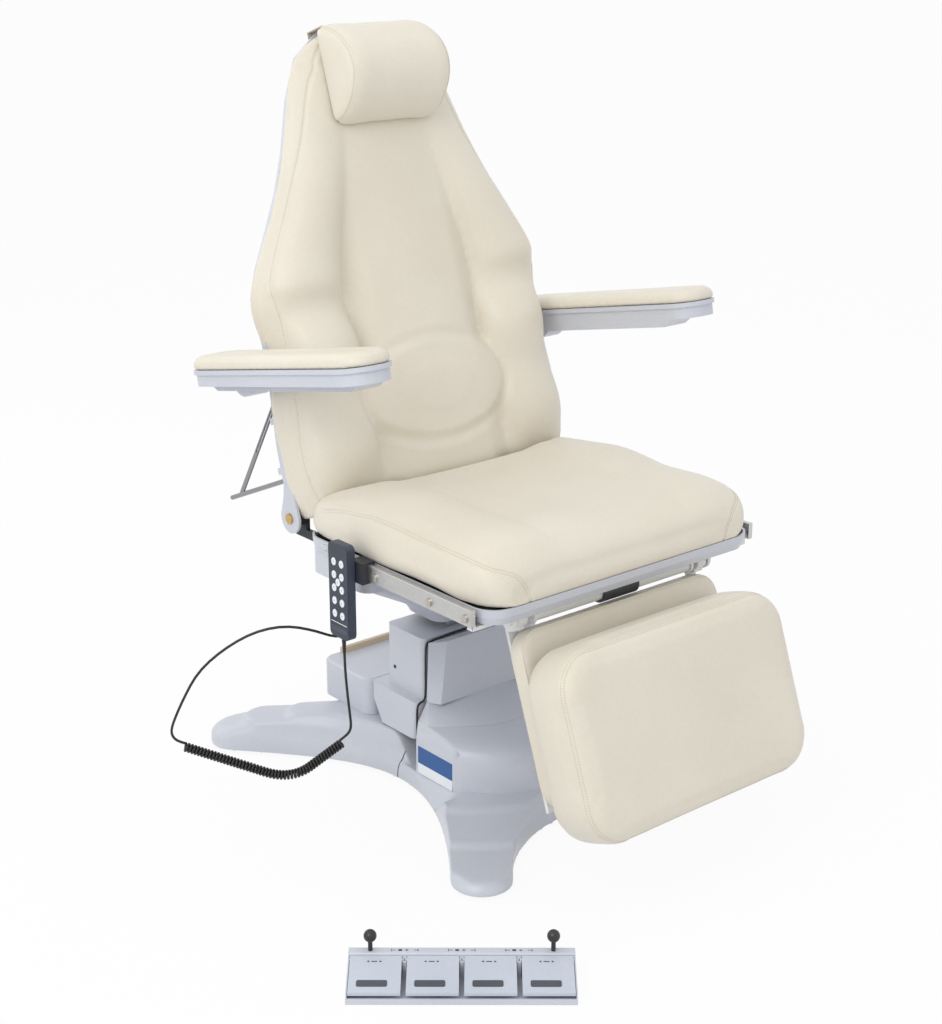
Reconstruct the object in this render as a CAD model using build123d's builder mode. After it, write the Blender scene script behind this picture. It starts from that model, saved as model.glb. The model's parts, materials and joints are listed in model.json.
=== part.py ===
from build123d import *
import math
import os

os.makedirs("parts", exist_ok=True)

# Procedure chair, in millimetres. Origin on the floor below the lift, chair faces -Y, Z up.
# The right side of a seated person is -X.

# Values shared by all pieces
overrun = 6.0
soft_gap = 0.3
running_gap = 0.8
pin_gap = 0.3
skin = 4.0
edge_break = 2.0

# Base: four feet on a moulded cover
hub_y = 100.0
base_height = 88.0
front_foot_x = 283.0
front_foot_y = -262.0
rear_foot_x = 302.0
rear_foot_y = 443.0
front_foot_radius = 52.0
rear_foot_radius = 50.0
waist_half = 169.0
waist_y = 150.0
front_bay_y = -187.0
rear_bay_y = 396.0
# Each level of the cover: height, foot pulled in, foot radius, bay depth
tier_level_shares = (
    (0.02, 0.0, 1.0, 1.0),
    (0.34, 0.0, 0.985, 0.97),
    (0.47, 0.028, 0.92, 0.85),
    (0.63, 0.12, 0.82, 0.81),
    (0.74, 0.13, 0.78, 0.79),
    (0.84, 0.29, 0.69, 0.77),
    (0.93, 0.30, 0.65, 0.75),
    (1.0, 0.42, 0.56, 0.72),
)
waist_bay_share = 0.42
hollow_bottom_shares = (0.00, 0.02, 0.88, 0.94)
hollow_top_shares = (1.00, 0.46, 0.36, 0.62)

# Steel frame and levelling feet in the base
frame_plate_z = 10.0
frame_plate_thickness = 8.0
frame_level_shares = (0.0, 0.12, 0.62, 0.62)
frame_inset = 8.0
pad_foot_radius = 21.0
pad_stud_radius = 5.0
pad_stud_length = 16.0

# Telescopic lift column, inner stage first
column_y = 132.0
inner_column_half = 55.0
inner_column_depth = 56.0
column_wall = 6.0
inner_column_top = 332.0
inner_column_bottom = 44.0
middle_column_bottom = 42.0
middle_column_top = 270.0
outer_column_top = 262.0

# Lift drive
spindle_radius = 10.0
spindle_top = 250.0
gearbox_half = 28.0
gearbox_height = 18.0
gear_tower_height = 60.0
gear_tower_length = 40.0
motor_radius = 28.0
motor_length = 70.0

# Front tower cover
panel_bottom = 46.0
tower_ridge_z = 135.0
tower_shoulder_z = 166.0
tower_top = 280.0
tower_low_half = 154.0
tower_ridge_half = 150.0
tower_shoulder_half = 131.0
tower_top_half = 126.0
tower_rear = 72.0
tower_low_front = -92.0
bow_place_share = 0.22
tower_ridge_front = -40.0
tower_shoulder_front = 46.0
tower_top_front = 56.0
tower_low_chamfer = 12.0
tower_top_chamfer = 30.0
panel_half = 158.0
panel_corner = 9.0
panel_edge = 5.0
panel_front = -46.0
panel_top = 118.0

# Rising cover behind the tower
mid_cover_bottom = 92.0
mid_cover_waist = 132.0
mid_cover_step = 166.0
mid_cover_top = 284.0
mid_low_half = 150.0
mid_top_half = 130.0
mid_low_front = 78.0
mid_low_rear = 214.0
mid_top_front = 80.0
mid_top_rear = 190.0
mid_bottom_front = 84.0
mid_bottom_rear = 190.0
mid_corner = 12.0

# Rear housing with the mains inlet
housing_half = 150.0
housing_front = 222.0
housing_rear = 371.0
housing_top = 161.0
housing_corner = 22.0
strip_half = 112.0
strip_thickness = 8.0
strip_height = 12.0
strip_inset = 8.0
inlet_width = 48.0
inlet_height = 28.0
inlet_depth = 30.0
inlet_flange = 6.0
inlet_z = 118.0

# Tilt joint on top of the column
tilt_y = 150.0
tilt_z = 360.0
tilt_pin_radius = 8.0
tilt_lug_radius = 18.0
yoke_plate = 8.0
yoke_lug_inner = 44.0
yoke_lug_thickness = 10.0
tilt_lug_gap = 8.0
tilt_lug_thickness = 10.0
tilt_pin_spare = 6.0

# Seat frame of rectangular tube
frame_z = 474.3
tube_height = 20.0
deck_thickness = 2.5
tube_width = 30.0
tube_wall = 2.5
frame_half = 282.0
frame_front = -280.0
frame_rear = 180.0
middle_tube_y = 20.0

# Seat tray, its deeper rear well and the flare round the column
tray_half = 304.0
tray_front = -305.0
tray_rear = 198.0
tray_bottom = 470.0
tray_top = 497.0
tray_corner = 46.0
tray_tuck = 8.0
tray_rear_tuck_share = 0.2
well_half = 292.0
well_front = 30.0
well_rear = 196.0
well_bottom = 425.0
well_corner = 26.0
flare_bottom = 300.0
flare_rim_half = 86.0
flare_rim_front = 90.0
flare_rim_rear = 193.0
# Flare levels: height, half width, front and rear, each from rim to well
flare_level_shares = (
    (0.00, 0.00, 0.00, 0.00),
    (0.21, 0.12, 0.10, 0.20),
    (0.40, 0.32, 0.25, 0.50),
    (0.60, 0.56, 0.50, 0.80),
    (0.80, 0.80, 0.75, 0.95),
    (1.00, 1.00, 1.00, 1.00),
)
flare_top_half = 275.0
flare_top_front = 42.0
flare_top_rear = 195.0
flare_corner = 24.0

# Seat cushion
cushion_half = 308.0
cushion_front = -307.0
cushion_rear = 150.0
cushion_height = 94.0
# Stations from front to rear: place, half width, bolster, hollow, bottom half width
seat_station_shares = (
    (0.000, 0.840, 0.500, 0.500, 0.960),
    (0.033, 0.930, 0.740, 0.735, 0.965),
    (0.100, 0.985, 0.900, 0.880, 0.970),
    (0.243, 1.000, 0.980, 0.930, 0.970),
    (0.530, 1.000, 1.000, 0.850, 0.970),
    (0.800, 0.992, 0.950, 0.810, 0.970),
    (0.920, 0.982, 0.880, 0.795, 0.970),
    (0.978, 0.962, 0.790, 0.750, 0.965),
    (1.000, 0.930, 0.640, 0.620, 0.960),
)
seat_side_share = 0.36
seat_shoulder_width_share = 0.965
seat_shoulder_height_share = 0.76
seat_bolster_share = 0.76
seat_groove_share = 0.50
groove_fill_share = 0.55

# Side rails
rail_outer = 322.0
rail_thickness = 9.5
rail_height = 28.6
rail_bottom = 472.4
rail_front = -280.0
rail_rear = 20.0
rail_bolt_ys = (-266.0, -177.0, -36.0)
rail_bolt_radius = 4.0
rail_head_radius = 7.0
rail_head_height = 3.0
rail_spacer_radius = 9.0

# Leg rest hinge and outriggers under the front of the seat
leg_hinge_y = -257.0
leg_hinge_z = 452.0
leg_pin_radius = 6.0
leg_lug_radius = 16.0
ear_outer = 225.0
ear_inner = 183.0
ear_thickness = 6.0
outrigger_depth = 14.0
outrigger_height = 6.0
bolt_head_radius = 9.0
bolt_head_height = 5.0

# Recline joint and the plane of the backrest
recline_angle = 18.0
back_y = 145.0
back_z = 500.0
pivot_y = 232.0
pivot_z = 512.0
pivot_pin_radius = 6.0
pivot_head_radius = 9.5
pivot_head_height = 3.0
pivot_lug_radius = 16.0
seat_lug_outer = 282.0
seat_lug_thickness = 8.0
back_lug_inner = 284.0
back_lug_thickness = 8.0
lobe_inner = 300.0
lobe_outer = 305.0
lobe_radius = 27.0
lobe_top_s = 150.0
lobe_depth_share = 0.7

# Backrest cushion and shell
back_half = 306.0
back_low = 79.0
back_length = 780.0
border_low = 55.0
border_slope_share = 0.047
# Stations up the backrest from the shell's lower edge: place, half width, wing, groove, centre.
# Below that edge only the cushion goes on, down behind the seat cushion.
back_station_shares = (
    (-0.054, 0.930, 0.10, 0.10, 0.10),
    (-0.036, 0.955, 0.28, 0.26, 0.28),
    (0.000, 0.985, 0.46, 0.34, 0.44),
    (0.040, 0.995, 0.84, 0.30, 0.54),
    (0.110, 1.000, 1.00, 0.25, 0.60),
    (0.230, 0.985, 1.00, 0.10, 0.62),
    (0.350, 0.985, 1.00, 0.05, 0.60),
    (0.440, 1.010, 1.00, 0.05, 0.55),
    (0.500, 0.955, 1.00, 0.08, 0.50),
    (0.570, 0.860, 0.95, 0.12, 0.45),
    (0.660, 0.740, 0.80, 0.20, 0.42),
    (0.750, 0.645, 0.48, 0.30, 0.42),
    (0.860, 0.555, 0.40, 0.38, 0.40),
    (0.950, 0.445, 0.34, 0.34, 0.34),
    (1.000, 0.270, 0.10, 0.10, 0.10),
)
wing_rise = 27.0
wing_place_share = 0.80
groove_place_share = 0.46
back_rear_width_share = 0.97
back_seam_width_share = 0.985
lumbar_s = 212.0
lumbar_half_x = 160.0
lumbar_half_s = 92.0
lumbar_rise = 19.0
# Lumbar bulge: height and size of each outline
lumbar_level_shares = ((0.0, 1.06), (0.5, 0.97), (0.85, 0.78), (1.0, 0.42))
shell_low_depth = 92.0
shell_slope_share = 0.093
shell_least_depth = 12.0
shell_lip = 2.0
shell_rear_share = 0.965
shell_top_rear_share = 0.80
shell_wall = 4.0
shell_break_share = 0.75

# Back frame
frame_stand = 1.3
upright_low_depth = 20.0
upright_top_depth = 9.0
upright_low_s = 44.0
upright_top_s = 416.0
backboard_low_s = 94.0
backboard_top_s = 414.0
backboard_thickness = 6.0
spine_half = 60.0
spine_thickness = 4.0
spine_low_s = 400.0
spine_top_s = 800.0

# Headrest and its straps
pillow_half = 112.0
pillow_low_s = 690.0
pillow_top_s = 865.0
pillow_back_n = 17.2
pillow_depth = 88.0
# Stations across: place from the middle, size
pillow_station_shares = (
    (-1.00, 0.74),
    (-0.96, 0.90),
    (-0.86, 0.98),
    (-0.50, 1.00),
    (0.00, 1.00),
    (0.50, 1.00),
    (0.86, 0.98),
    (0.96, 0.90),
    (1.00, 0.74),
)
# Profile: place up from the middle, rise in front of the flat side
pillow_profile_shares = (
    (0.94, 0.26),
    (0.66, 0.68),
    (0.32, 0.93),
    (0.00, 1.00),
    (-0.32, 0.93),
    (-0.66, 0.68),
    (-0.94, 0.26),
)
strap_x = 82.0
strap_width = 26.0
strap_thickness = 1.6
strap_stand = 15.0
strap_low_s = 704.0
strap_turn_s = 863.0
strap_end_s = 800.0
strap_rear_stand = 1.6

# Armrests
arm_x = 363.0
arm_half_width = 49.0
arm_front_y = -108.0
arm_front_z = 864.0
arm_rear_y = 383.0
arm_rear_z = 765.0
arm_corner = 44.0
arm_lip_height = 8.0
arm_body_inset = 4.0
arm_body_depth = 20.0
arm_pad_height = 22.0
# Pad levels: height and how far the outline is drawn in
arm_pad_level_shares = ((0.0, 0.06), (0.40, 0.02), (0.75, 0.10), (1.0, 0.42))
arm_pivot_s = 295.0
arm_pivot_d = 50.0
arm_pin_radius = 4.5
arm_lug_radius = 7.4
arm_boss_radius = 34.0
arm_boss_thickness = 40.0
arm_keel_width = 56.0
arm_keel_depth = 13.0
arm_keel_front = 40.0
arm_keel_rear = 12.0
arm_keel_slope = 26.0

# Leg rest, in its own plane
leg_angle = 20.0
calf_half = 227.0
calf_top_t = 20.0
calf_bottom_t = 320.0
calf_low_n = -18.0
calf_thickness = 35.0
calf_corner = 40.0
foot_half = 256.0
foot_top_t = 56.0
foot_bottom_t = 372.0
foot_low_n = 34.0
foot_thickness = 102.0
foot_corner = 72.0
# Pad levels: height and how far the outline is drawn in
pad_level_shares = ((0.0, 0.20), (0.16, 0.03), (0.50, 0.00), (0.84, 0.05), (1.0, 0.30))
leg_lug_outer = 216.0
leg_lug_width = 20.0
leg_bar_thickness = 6.0
hinge_tube_radius = 13.0
leg_plate_top_t = 46.0
leg_plate_bottom_t = 266.0
slide_half = 150.0
slide_width = 24.0
slide_thickness = 8.0
slide_top_t = 120.0
slide_foot_t = 344.0
slide_foot_height = 26.0

# Leg rest drive, set on the hinge tube
leg_drive_x = 10.0
leg_drive_half = 40.0
leg_drive_depth = 22.0
leg_motor_radius = 17.0
leg_motor_length = 110.0

# Control box and cord gland in the well
box_inner_x = 130.0
box_outer_x = 262.0
box_front = 100.0
box_rear = 186.0
box_height = 34.0
gland_radius = 6.0
gland_drop = 9.0

# Paper roll arms behind the backrest
roll_x = 290.0
roll_rod_radius = 4.5
roll_stand_off = 9.0
roll_arm_s = 104.0
roll_end_s = 86.0
roll_end_d = 283.0
roll_strut_s = 236.0
roll_foot_d = 250.0
roll_lug_length = 12.0
roll_lug_low_s = 116.0
roll_lug_high_s = 204.0
roll_lug_half = 9.0
strut_width = 9.0
strut_thickness = 3.0
slot_width = 3.6
slot_from_share = 0.06
slot_to_share = 0.50
roll_pin_spare = 6.0

# Handset and its holder
handset_face_x = -352.0
handset_thickness = 18.0
handset_y = 26.0
handset_width = 52.0
handset_low = 366.0
handset_height = 167.0
handset_corner = 9.0
handset_wall = 2.0
face_thickness = 1.6
button_rows = 5
button_row_pitch = 23.0
button_column_pitch = 21.0
button_top_z = 500.0
button_half_y = 5.8
button_half_z = 6.8
button_gap = 0.4
button_stand = 1.4
button_depth = 4.6
holder_front = -17.0
holder_rear = 40.0
holder_clamp_rear = 16.0
holder_top = 505.0
holder_low = 468.0
holder_hook = 4.0
holder_slot = 20.0
button_travel = 0.8
board_thickness = 1.6
case_rear_wall = 2.0

# Handset cord
cord_diameter = 4.6
bend_share = 0.45
trace_steps = 6
trace_turns = 3
curl_outer_diameter = 17.0
curl_pitch = 5.4
curl_spans_per_turn = 2
curl_end_advance = 8.0
cord_lead_points = (
    (-343.0, 26.0, 366.0),
    (-343.0, 26.0, 316.0),
    (-340.6, 24.0, 266.0),
    (-337.6, 21.5, 222.0),
    (-336.2, 20.3, 198.1),
    (-340.8, 24.2, 185.5),
    (-349.2, 31.2, 176.7),
)
curl_axis_start = (-349.0, 31.0, 169.0)
curl_axis_corner = (-417.0, 88.0, 98.0)
curl_axis_end = (-556.0, 204.0, 162.0)
curl_axis_radius = 110.0
cord_tail_points = (
    (-557.7, 205.4, 169.6),
    (-567.8, 213.9, 174.3),
    (-573.2, 218.6, 188.6),
    (-567.6, 214.3, 211.5),
    (-554.0, 202.0, 252.0),
    (-534.0, 186.0, 300.0),
    (-500.0, 160.0, 340.0),
    (-456.0, 130.0, 371.0),
    (-410.0, 102.0, 380.0),
    (-366.0, 82.0, 366.0),
    (-330.0, 74.0, 346.0),
    (-299.0, 75.0, 341.0),
    (-284.0, 80.0, 361.0),
    (-281.0, 84.0, 388.0),
    (-281.0, 84.0, 416.0),
)
cord_socket_y = 84.0
cord_socket_x = -281.0

# Foot control on the floor in front of the chair
control_x = -524.0
control_y = -501.0
control_turn = -40.0
control_width = 342.0
control_depth = 98.0
control_strip = 18.0
control_height = 36.0
control_floor = 4.0
control_lip = 9.0
control_wall = 3.0
pedal_count = 4
pedal_gap = 8.0
pedal_thickness = 5.0
pedal_front_height = 17.0
pedal_rear_height = 33.0
pedal_clearance = 1.0
pedal_pin_radius = 2.5
knob_x = 138.0
knob_radius = 10.0
knob_stem_radius = 3.5
knob_stem_height = 17.0


def write_node(piece, node):
    """Label a finished piece and write it under its node name."""
    piece.label = node
    export_step(piece, f"parts/{node}.step")


def mix(low, high, share):
    """Value between two others."""
    return low + (high - low) * share


def rounded_face(plane, half, low, high, radius):
    """Rounded rectangle, centred in the first direction and from low to high in the second."""
    with BuildSketch(plane) as section:
        with Locations((0, (low + high) / 2)):
            RectangleRounded(2 * half, high - low, radius)
    return section.sketch


# Base cover sections: four round feet joined by curved bays
def foot_centre(x, y, pull):
    """Centre of a foot pulled towards the hub by a share of its reach."""
    return Vector(x * (1 - pull), hub_y + (y - hub_y) * (1 - pull))


def star_face(height, pull, radius_share, bay_share, inset=0.0):
    """Outline of the base at one height."""
    feet = []
    for x, y, radius in (
        (-front_foot_x, front_foot_y, front_foot_radius),
        (front_foot_x, front_foot_y, front_foot_radius),
        (rear_foot_x, rear_foot_y, rear_foot_radius),
        (-rear_foot_x, rear_foot_y, rear_foot_radius),
    ):
        outward = Vector(x, y - hub_y).normalized()
        feet.append((foot_centre(x, y, pull), outward, radius * radius_share - inset))
    waist = waist_half * mix(1.0, bay_share, waist_bay_share) - inset
    bays = (
        Vector(0, mix(hub_y, front_bay_y, bay_share) + inset),
        Vector(waist, waist_y),
        Vector(0, mix(hub_y, rear_bay_y, bay_share) - inset),
        Vector(-waist, waist_y),
    )
    with BuildSketch(Plane.XY.offset(height)) as section:
        with BuildLine():
            for index, (centre, outward, radius) in enumerate(feet):
                side = Vector(-outward.Y, outward.X)
                following, next_outward, next_radius = feet[(index + 1) % len(feet)]
                next_side = Vector(-next_outward.Y, next_outward.X)
                ThreePointArc(centre - side * radius, centre + outward * radius, centre + side * radius)
                Spline(
                    centre + side * radius,
                    bays[index],
                    following - next_side * next_radius,
                    tangents=(outward * -1, next_outward),
                )
        make_face()
    return section.sketch


def level_face(shares, inset=0.0):
    """Base outline for one row of shares."""
    height_share, pull, radius_share, bay_share = shares
    return star_face(base_height * height_share, pull, radius_share, bay_share, inset)


# Sections of the front tower cover
def bowed_face(height, half, rear, front, shrink=0.0, deepen=0.0):
    """Tower section with straight sides and a bowed front."""
    side = half - shrink
    shoulder = mix(rear, front, bow_place_share)
    with BuildSketch(Plane.XY.offset(height)) as section:
        with BuildLine():
            Polyline((-side, shoulder), (-side, rear + deepen), (side, rear + deepen), (side, shoulder))
            ThreePointArc((side, shoulder), (0, front + shrink), (-side, shoulder))
        make_face()
    return section.sketch


def faceted_face(height, half, chamfer, front, shrink=0.0, deepen=0.0):
    """Tower section with a flat front and two corner facets."""
    side = half - shrink
    with BuildSketch(Plane.XY.offset(height)) as section:
        with BuildLine():
            Polyline(
                (-side, tower_rear + deepen),
                (-side, tower_rear - edge_break),
                (-side + chamfer, front + shrink),
                (side - chamfer, front + shrink),
                (side, tower_rear - edge_break),
                (side, tower_rear + deepen),
                close=True,
            )
        make_face()
    return section.sketch


def tower_pieces(shrink, deepen, drop):
    """Faces of the tower from the base up, as pairs to loft."""
    low = bowed_face(
        base_height + soft_gap - drop, tower_low_half, tower_rear, tower_low_front, shrink, deepen
    )
    ridge = bowed_face(
        tower_ridge_z - drop, tower_ridge_half, tower_rear, tower_ridge_front, shrink, deepen
    )
    shoulder = bowed_face(
        tower_shoulder_z - drop, tower_shoulder_half, tower_rear, tower_shoulder_front, shrink, deepen
    )
    collar = faceted_face(
        tower_shoulder_z - drop, tower_shoulder_half, tower_low_chamfer, tower_shoulder_front, shrink, deepen
    )
    top = faceted_face(
        tower_top - drop, tower_top_half, tower_top_chamfer, tower_top_front, shrink, deepen
    )
    return ((low, ridge), (ridge, shoulder), (collar, top))


with BuildPart() as tower_cover:
    for lower, upper in tower_pieces(0.0, 0.0, 0.0):
        loft(sections=[lower, upper], ruled=True)
    panel_levels = ((panel_bottom, 0.0), (panel_top - panel_edge, 0.0), (panel_top, panel_edge))
    panel_faces = [
        rounded_face(
            Plane.XY.offset(z), panel_half - narrowing, panel_front + narrowing,
            tower_rear - narrowing, panel_corner,
        )
        for z, narrowing in panel_levels
    ]
    loft(sections=panel_faces, ruled=True)
    with BuildSketch(Plane.XY.offset(panel_bottom - overrun)):
        with Locations((0, (panel_front + tower_rear) / 2 + skin)):
            Rectangle(2 * (tower_top_half - skin), tower_rear - panel_front)
    extrude(amount=panel_top - panel_bottom, mode=Mode.SUBTRACT)
    for lower, upper in tower_pieces(skin, overrun + skin, skin):
        loft(sections=[lower, upper], ruled=True, mode=Mode.SUBTRACT)
write_node(tower_cover.part, "tower_cover")

# Steel frame of the base with a hole for each levelling stud
frame_feet = [
    foot_centre(sx * x, y, frame_level_shares[1])
    for x, y in ((front_foot_x, front_foot_y), (rear_foot_x, rear_foot_y))
    for sx in (-1, 1)
]
with BuildPart() as base_frame:
    plate = star_face(frame_plate_z, *frame_level_shares[1:], frame_inset)
    extrude(plate, amount=frame_plate_thickness)
    with Locations([(foot.X, foot.Y, frame_plate_z) for foot in frame_feet]):
        Cylinder(
            pad_stud_radius + pin_gap,
            frame_plate_thickness * 3,
            mode=Mode.SUBTRACT,
        )
write_node(base_frame.part, "base_frame")

with BuildPart() as levelling_feet:
    for foot in frame_feet:
        with Locations((foot.X, foot.Y, 0)):
            Cylinder(pad_foot_radius, frame_plate_z, align=(Align.CENTER, Align.CENTER, Align.MIN))
        with Locations((foot.X, foot.Y, frame_plate_z)):
            Cylinder(pad_stud_radius, pad_stud_length, align=(Align.CENTER, Align.CENTER, Align.MIN))
write_node(levelling_feet.part, "levelling_feet")

# Column stages, each one larger than the stage that slides in it
stage_step = column_wall + running_gap
frame_top = frame_plate_z + frame_plate_thickness


def column_stage(step_count, bottom, top):
    """Rectangular tube, one step wider for each stage that slides in it."""
    half = inner_column_half + step_count * stage_step
    depth = inner_column_depth + 2 * step_count * stage_step
    with BuildPart() as stage:
        with BuildSketch(Plane.XY.offset(bottom)):
            with Locations((0, column_y)):
                RectangleRounded(2 * half, depth, column_wall)
                RectangleRounded(
                    2 * (half - column_wall), depth - 2 * column_wall, column_wall / 2, mode=Mode.SUBTRACT
                )
        extrude(amount=top - bottom)
    return stage


outer_half = inner_column_half + 2 * stage_step
outer_depth = inner_column_depth + 4 * stage_step
drive_y = column_y + outer_depth / 2
inner_column = column_stage(0, inner_column_bottom, inner_column_top)
write_node(inner_column.part, "inner_column")
middle_column = column_stage(1, middle_column_bottom, middle_column_top)
write_node(middle_column.part, "middle_column")
outer_tube = column_stage(2, frame_top, outer_column_top)
with BuildPart() as outer_column:
    add(outer_tube.part)
    with Locations((0, drive_y, frame_top)):
        Box(
            2 * (gearbox_half + running_gap),
            4 * column_wall,
            2 * (gearbox_height + running_gap),
            mode=Mode.SUBTRACT,
        )
write_node(outer_column.part, "outer_column")

# Lift drive: flat gearbox under the column, gear tower and motor behind it, spindle inside it
with BuildPart() as lift_actuator:
    with Locations((0, (column_y + drive_y + gear_tower_length) / 2, frame_top)):
        Box(
            2 * gearbox_half,
            drive_y + gear_tower_length - column_y + 2 * spindle_radius,
            gearbox_height,
            align=(Align.CENTER, Align.CENTER, Align.MIN),
        )
    with Locations((0, drive_y + running_gap, frame_top)):
        Box(
            2 * gearbox_half,
            gear_tower_length,
            gear_tower_height,
            align=(Align.CENTER, Align.MIN, Align.MIN),
        )
    with BuildSketch(Plane.XY.offset(frame_top)):
        with Locations((0, column_y)):
            Circle(spindle_radius)
    extrude(amount=spindle_top - frame_top)
    motor_plane = Plane(
        origin=(0, drive_y + gear_tower_length, frame_top + gear_tower_height / 2),
        x_dir=(1, 0, 0),
        z_dir=(0, 1, 0),
    )
    with BuildSketch(motor_plane):
        Circle(motor_radius)
    extrude(amount=motor_length)
write_node(lift_actuator.part, "lift_actuator")

# Base cover: feet with soft ridges, hollow, with pockets for the tower, the housing and the column
with BuildPart() as base_cover:
    loft(sections=[level_face(level) for level in tier_level_shares], ruled=True)
    hollow_low = star_face(0.0, *hollow_bottom_shares[1:], skin)
    hollow_top = star_face(base_height - skin, *hollow_top_shares[1:], skin)
    loft(sections=[hollow_low, hollow_top], ruled=True, mode=Mode.SUBTRACT)
    with BuildSketch(Plane.XY):
        with Locations((0, column_y)):
            Rectangle(2 * (outer_half + running_gap), outer_depth + 2 * running_gap)
    extrude(amount=base_height + overrun, mode=Mode.SUBTRACT)
    with BuildSketch(Plane.XY.offset(panel_bottom - running_gap)):
        with Locations((0, (panel_front + tower_rear) / 2)):
            RectangleRounded(
                2 * (panel_half + running_gap), tower_rear - panel_front + 2 * running_gap,
                panel_corner + running_gap,
            )
    extrude(amount=base_height, mode=Mode.SUBTRACT)
write_node(base_cover.part, "base_cover")

# Rising cover: narrow above a step, chamfered towards its lower edge
mid_levels = (
    (mid_cover_bottom, mid_low_half, mid_bottom_front, mid_bottom_rear),
    (mid_cover_waist, mid_low_half, mid_low_front, mid_low_rear),
    (mid_cover_step, mid_low_half, mid_low_front, mid_low_rear),
)
with BuildPart() as mid_cover:
    for inset, mode in ((0.0, Mode.ADD), (skin, Mode.SUBTRACT)):
        lift = -overrun if inset else 0.0
        faces = [
            rounded_face(
                Plane.XY.offset(z - (skin if inset else 0.0)), half - inset, front + inset, rear - inset,
                mid_corner - inset / 2,
            )
            for z, half, front, rear in mid_levels
        ]
        loft(sections=faces, ruled=True, mode=mode)
        upper = rounded_face(
            Plane.XY.offset(mid_cover_step - skin - inset),
            mid_top_half - inset,
            mid_top_front + inset,
            mid_top_rear - inset,
            mid_corner - inset / 2,
        )
        extrude(upper, amount=mid_cover_top - mid_cover_step + skin, mode=mode)
    with BuildSketch(Plane.XY.offset(mid_cover_step)):
        with Locations((0, column_y)):
            Rectangle(
                2 * (inner_column_half + running_gap), inner_column_depth + 2 * running_gap
            )
    extrude(amount=mid_cover_top, mode=Mode.SUBTRACT)
    bottom_opening = rounded_face(
        Plane.XY.offset(mid_cover_bottom - overrun),
        mid_low_half - skin,
        mid_bottom_front + skin,
        mid_bottom_rear - skin,
        mid_corner - skin / 2,
    )
    extrude(bottom_opening, amount=mid_cover_waist - mid_cover_bottom, mode=Mode.SUBTRACT)
write_node(mid_cover.part, "mid_cover")

# Rear housing, open below, with the inlet in its rear wall
with BuildPart() as rear_housing:
    body_face = rounded_face(
        Plane.XY.offset(base_height + soft_gap), housing_half, housing_front, housing_rear, housing_corner
    )
    extrude(body_face, amount=housing_top - base_height - soft_gap)
    top_edges = rear_housing.edges().group_by(Axis.Z)[-1]
    chamfer(top_edges, length=skin)
    inner_face = rounded_face(
        Plane.XY.offset(base_height - overrun),
        housing_half - skin,
        housing_front + skin,
        housing_rear - skin,
        housing_corner - skin,
    )
    extrude(inner_face, amount=housing_top - base_height + overrun - skin, mode=Mode.SUBTRACT)
    with Locations((0, housing_rear, inlet_z)):
        Box(inlet_width, 4 * skin, inlet_height, mode=Mode.SUBTRACT)
write_node(rear_housing.part, "rear_housing")

with BuildPart() as mains_inlet:
    with Locations((0, housing_rear + soft_gap, inlet_z)):
        Box(
            inlet_width + 2 * inlet_flange,
            skin,
            inlet_height + 2 * inlet_flange,
            align=(Align.CENTER, Align.MIN, Align.CENTER),
        )
    with Locations((0, housing_rear + soft_gap, inlet_z)):
        Box(
            inlet_width - running_gap,
            inlet_depth,
            inlet_height - running_gap,
            align=(Align.CENTER, Align.MAX, Align.CENTER),
        )
    with Locations((0, housing_rear + skin + soft_gap, inlet_z)):
        Box(
            inlet_width / 2,
            inlet_depth,
            inlet_height * 2 / 3,
            mode=Mode.SUBTRACT,
        )
write_node(mains_inlet.part, "mains_inlet")

with BuildPart() as rear_strip:
    with Locations((0, housing_rear - strip_inset, housing_top)):
        Box(
            2 * strip_half,
            strip_thickness,
            strip_height,
            align=(Align.CENTER, Align.MAX, Align.MIN),
        )
write_node(rear_strip.part, "rear_strip")


# Plates and pins in the side view, where the first direction is Y and the second is Z
def side_plane(x):
    """Plane across the chair at one X."""
    return Plane(origin=(x, 0, 0), x_dir=(0, 1, 0), z_dir=(1, 0, 0))


def disc(x_from, x_to, y, z, radius, mode=Mode.ADD):
    """Cylinder along X, added to the part being built."""
    with Locations(Location(((x_from + x_to) / 2, y, z), (0, 90, 0))):
        Cylinder(radius, abs(x_to - x_from), mode=mode)


# Tilt yoke on the column with its pin
yoke_lug_outer = yoke_lug_inner + yoke_lug_thickness
seat_tilt_inner = yoke_lug_outer + tilt_lug_gap
seat_tilt_outer = seat_tilt_inner + tilt_lug_thickness
pin_reach = seat_tilt_outer + tilt_pin_spare
with BuildPart() as yoke_body:
    with Locations((0, column_y, inner_column_top)):
        Box(
            2 * inner_column_half,
            inner_column_depth,
            yoke_plate,
            align=(Align.CENTER, Align.CENTER, Align.MIN),
        )
    for sx in (-1, 1):
        with BuildSketch(side_plane(sx * yoke_lug_inner)):
            with Locations((tilt_y, tilt_z)):
                Circle(tilt_lug_radius)
            with Locations((tilt_y, (tilt_z + inner_column_top) / 2)):
                Rectangle(2 * tilt_lug_radius, tilt_z - inner_column_top)
        extrude(amount=sx * yoke_lug_thickness)
    disc(-yoke_lug_outer - overrun, yoke_lug_outer + overrun, tilt_y, tilt_z, tilt_pin_radius, Mode.SUBTRACT)
with BuildPart() as tilt_pin:
    disc(-pin_reach, pin_reach, tilt_y, tilt_z, tilt_pin_radius)
write_node(Compound([yoke_body.part.solid(), tilt_pin.part.solid()]), "tilt_yoke")

# Seat frame: tubes, hinge ears, outriggers, tilt lugs and recline brackets
tube_mid_z = frame_z + tube_height / 2


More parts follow.
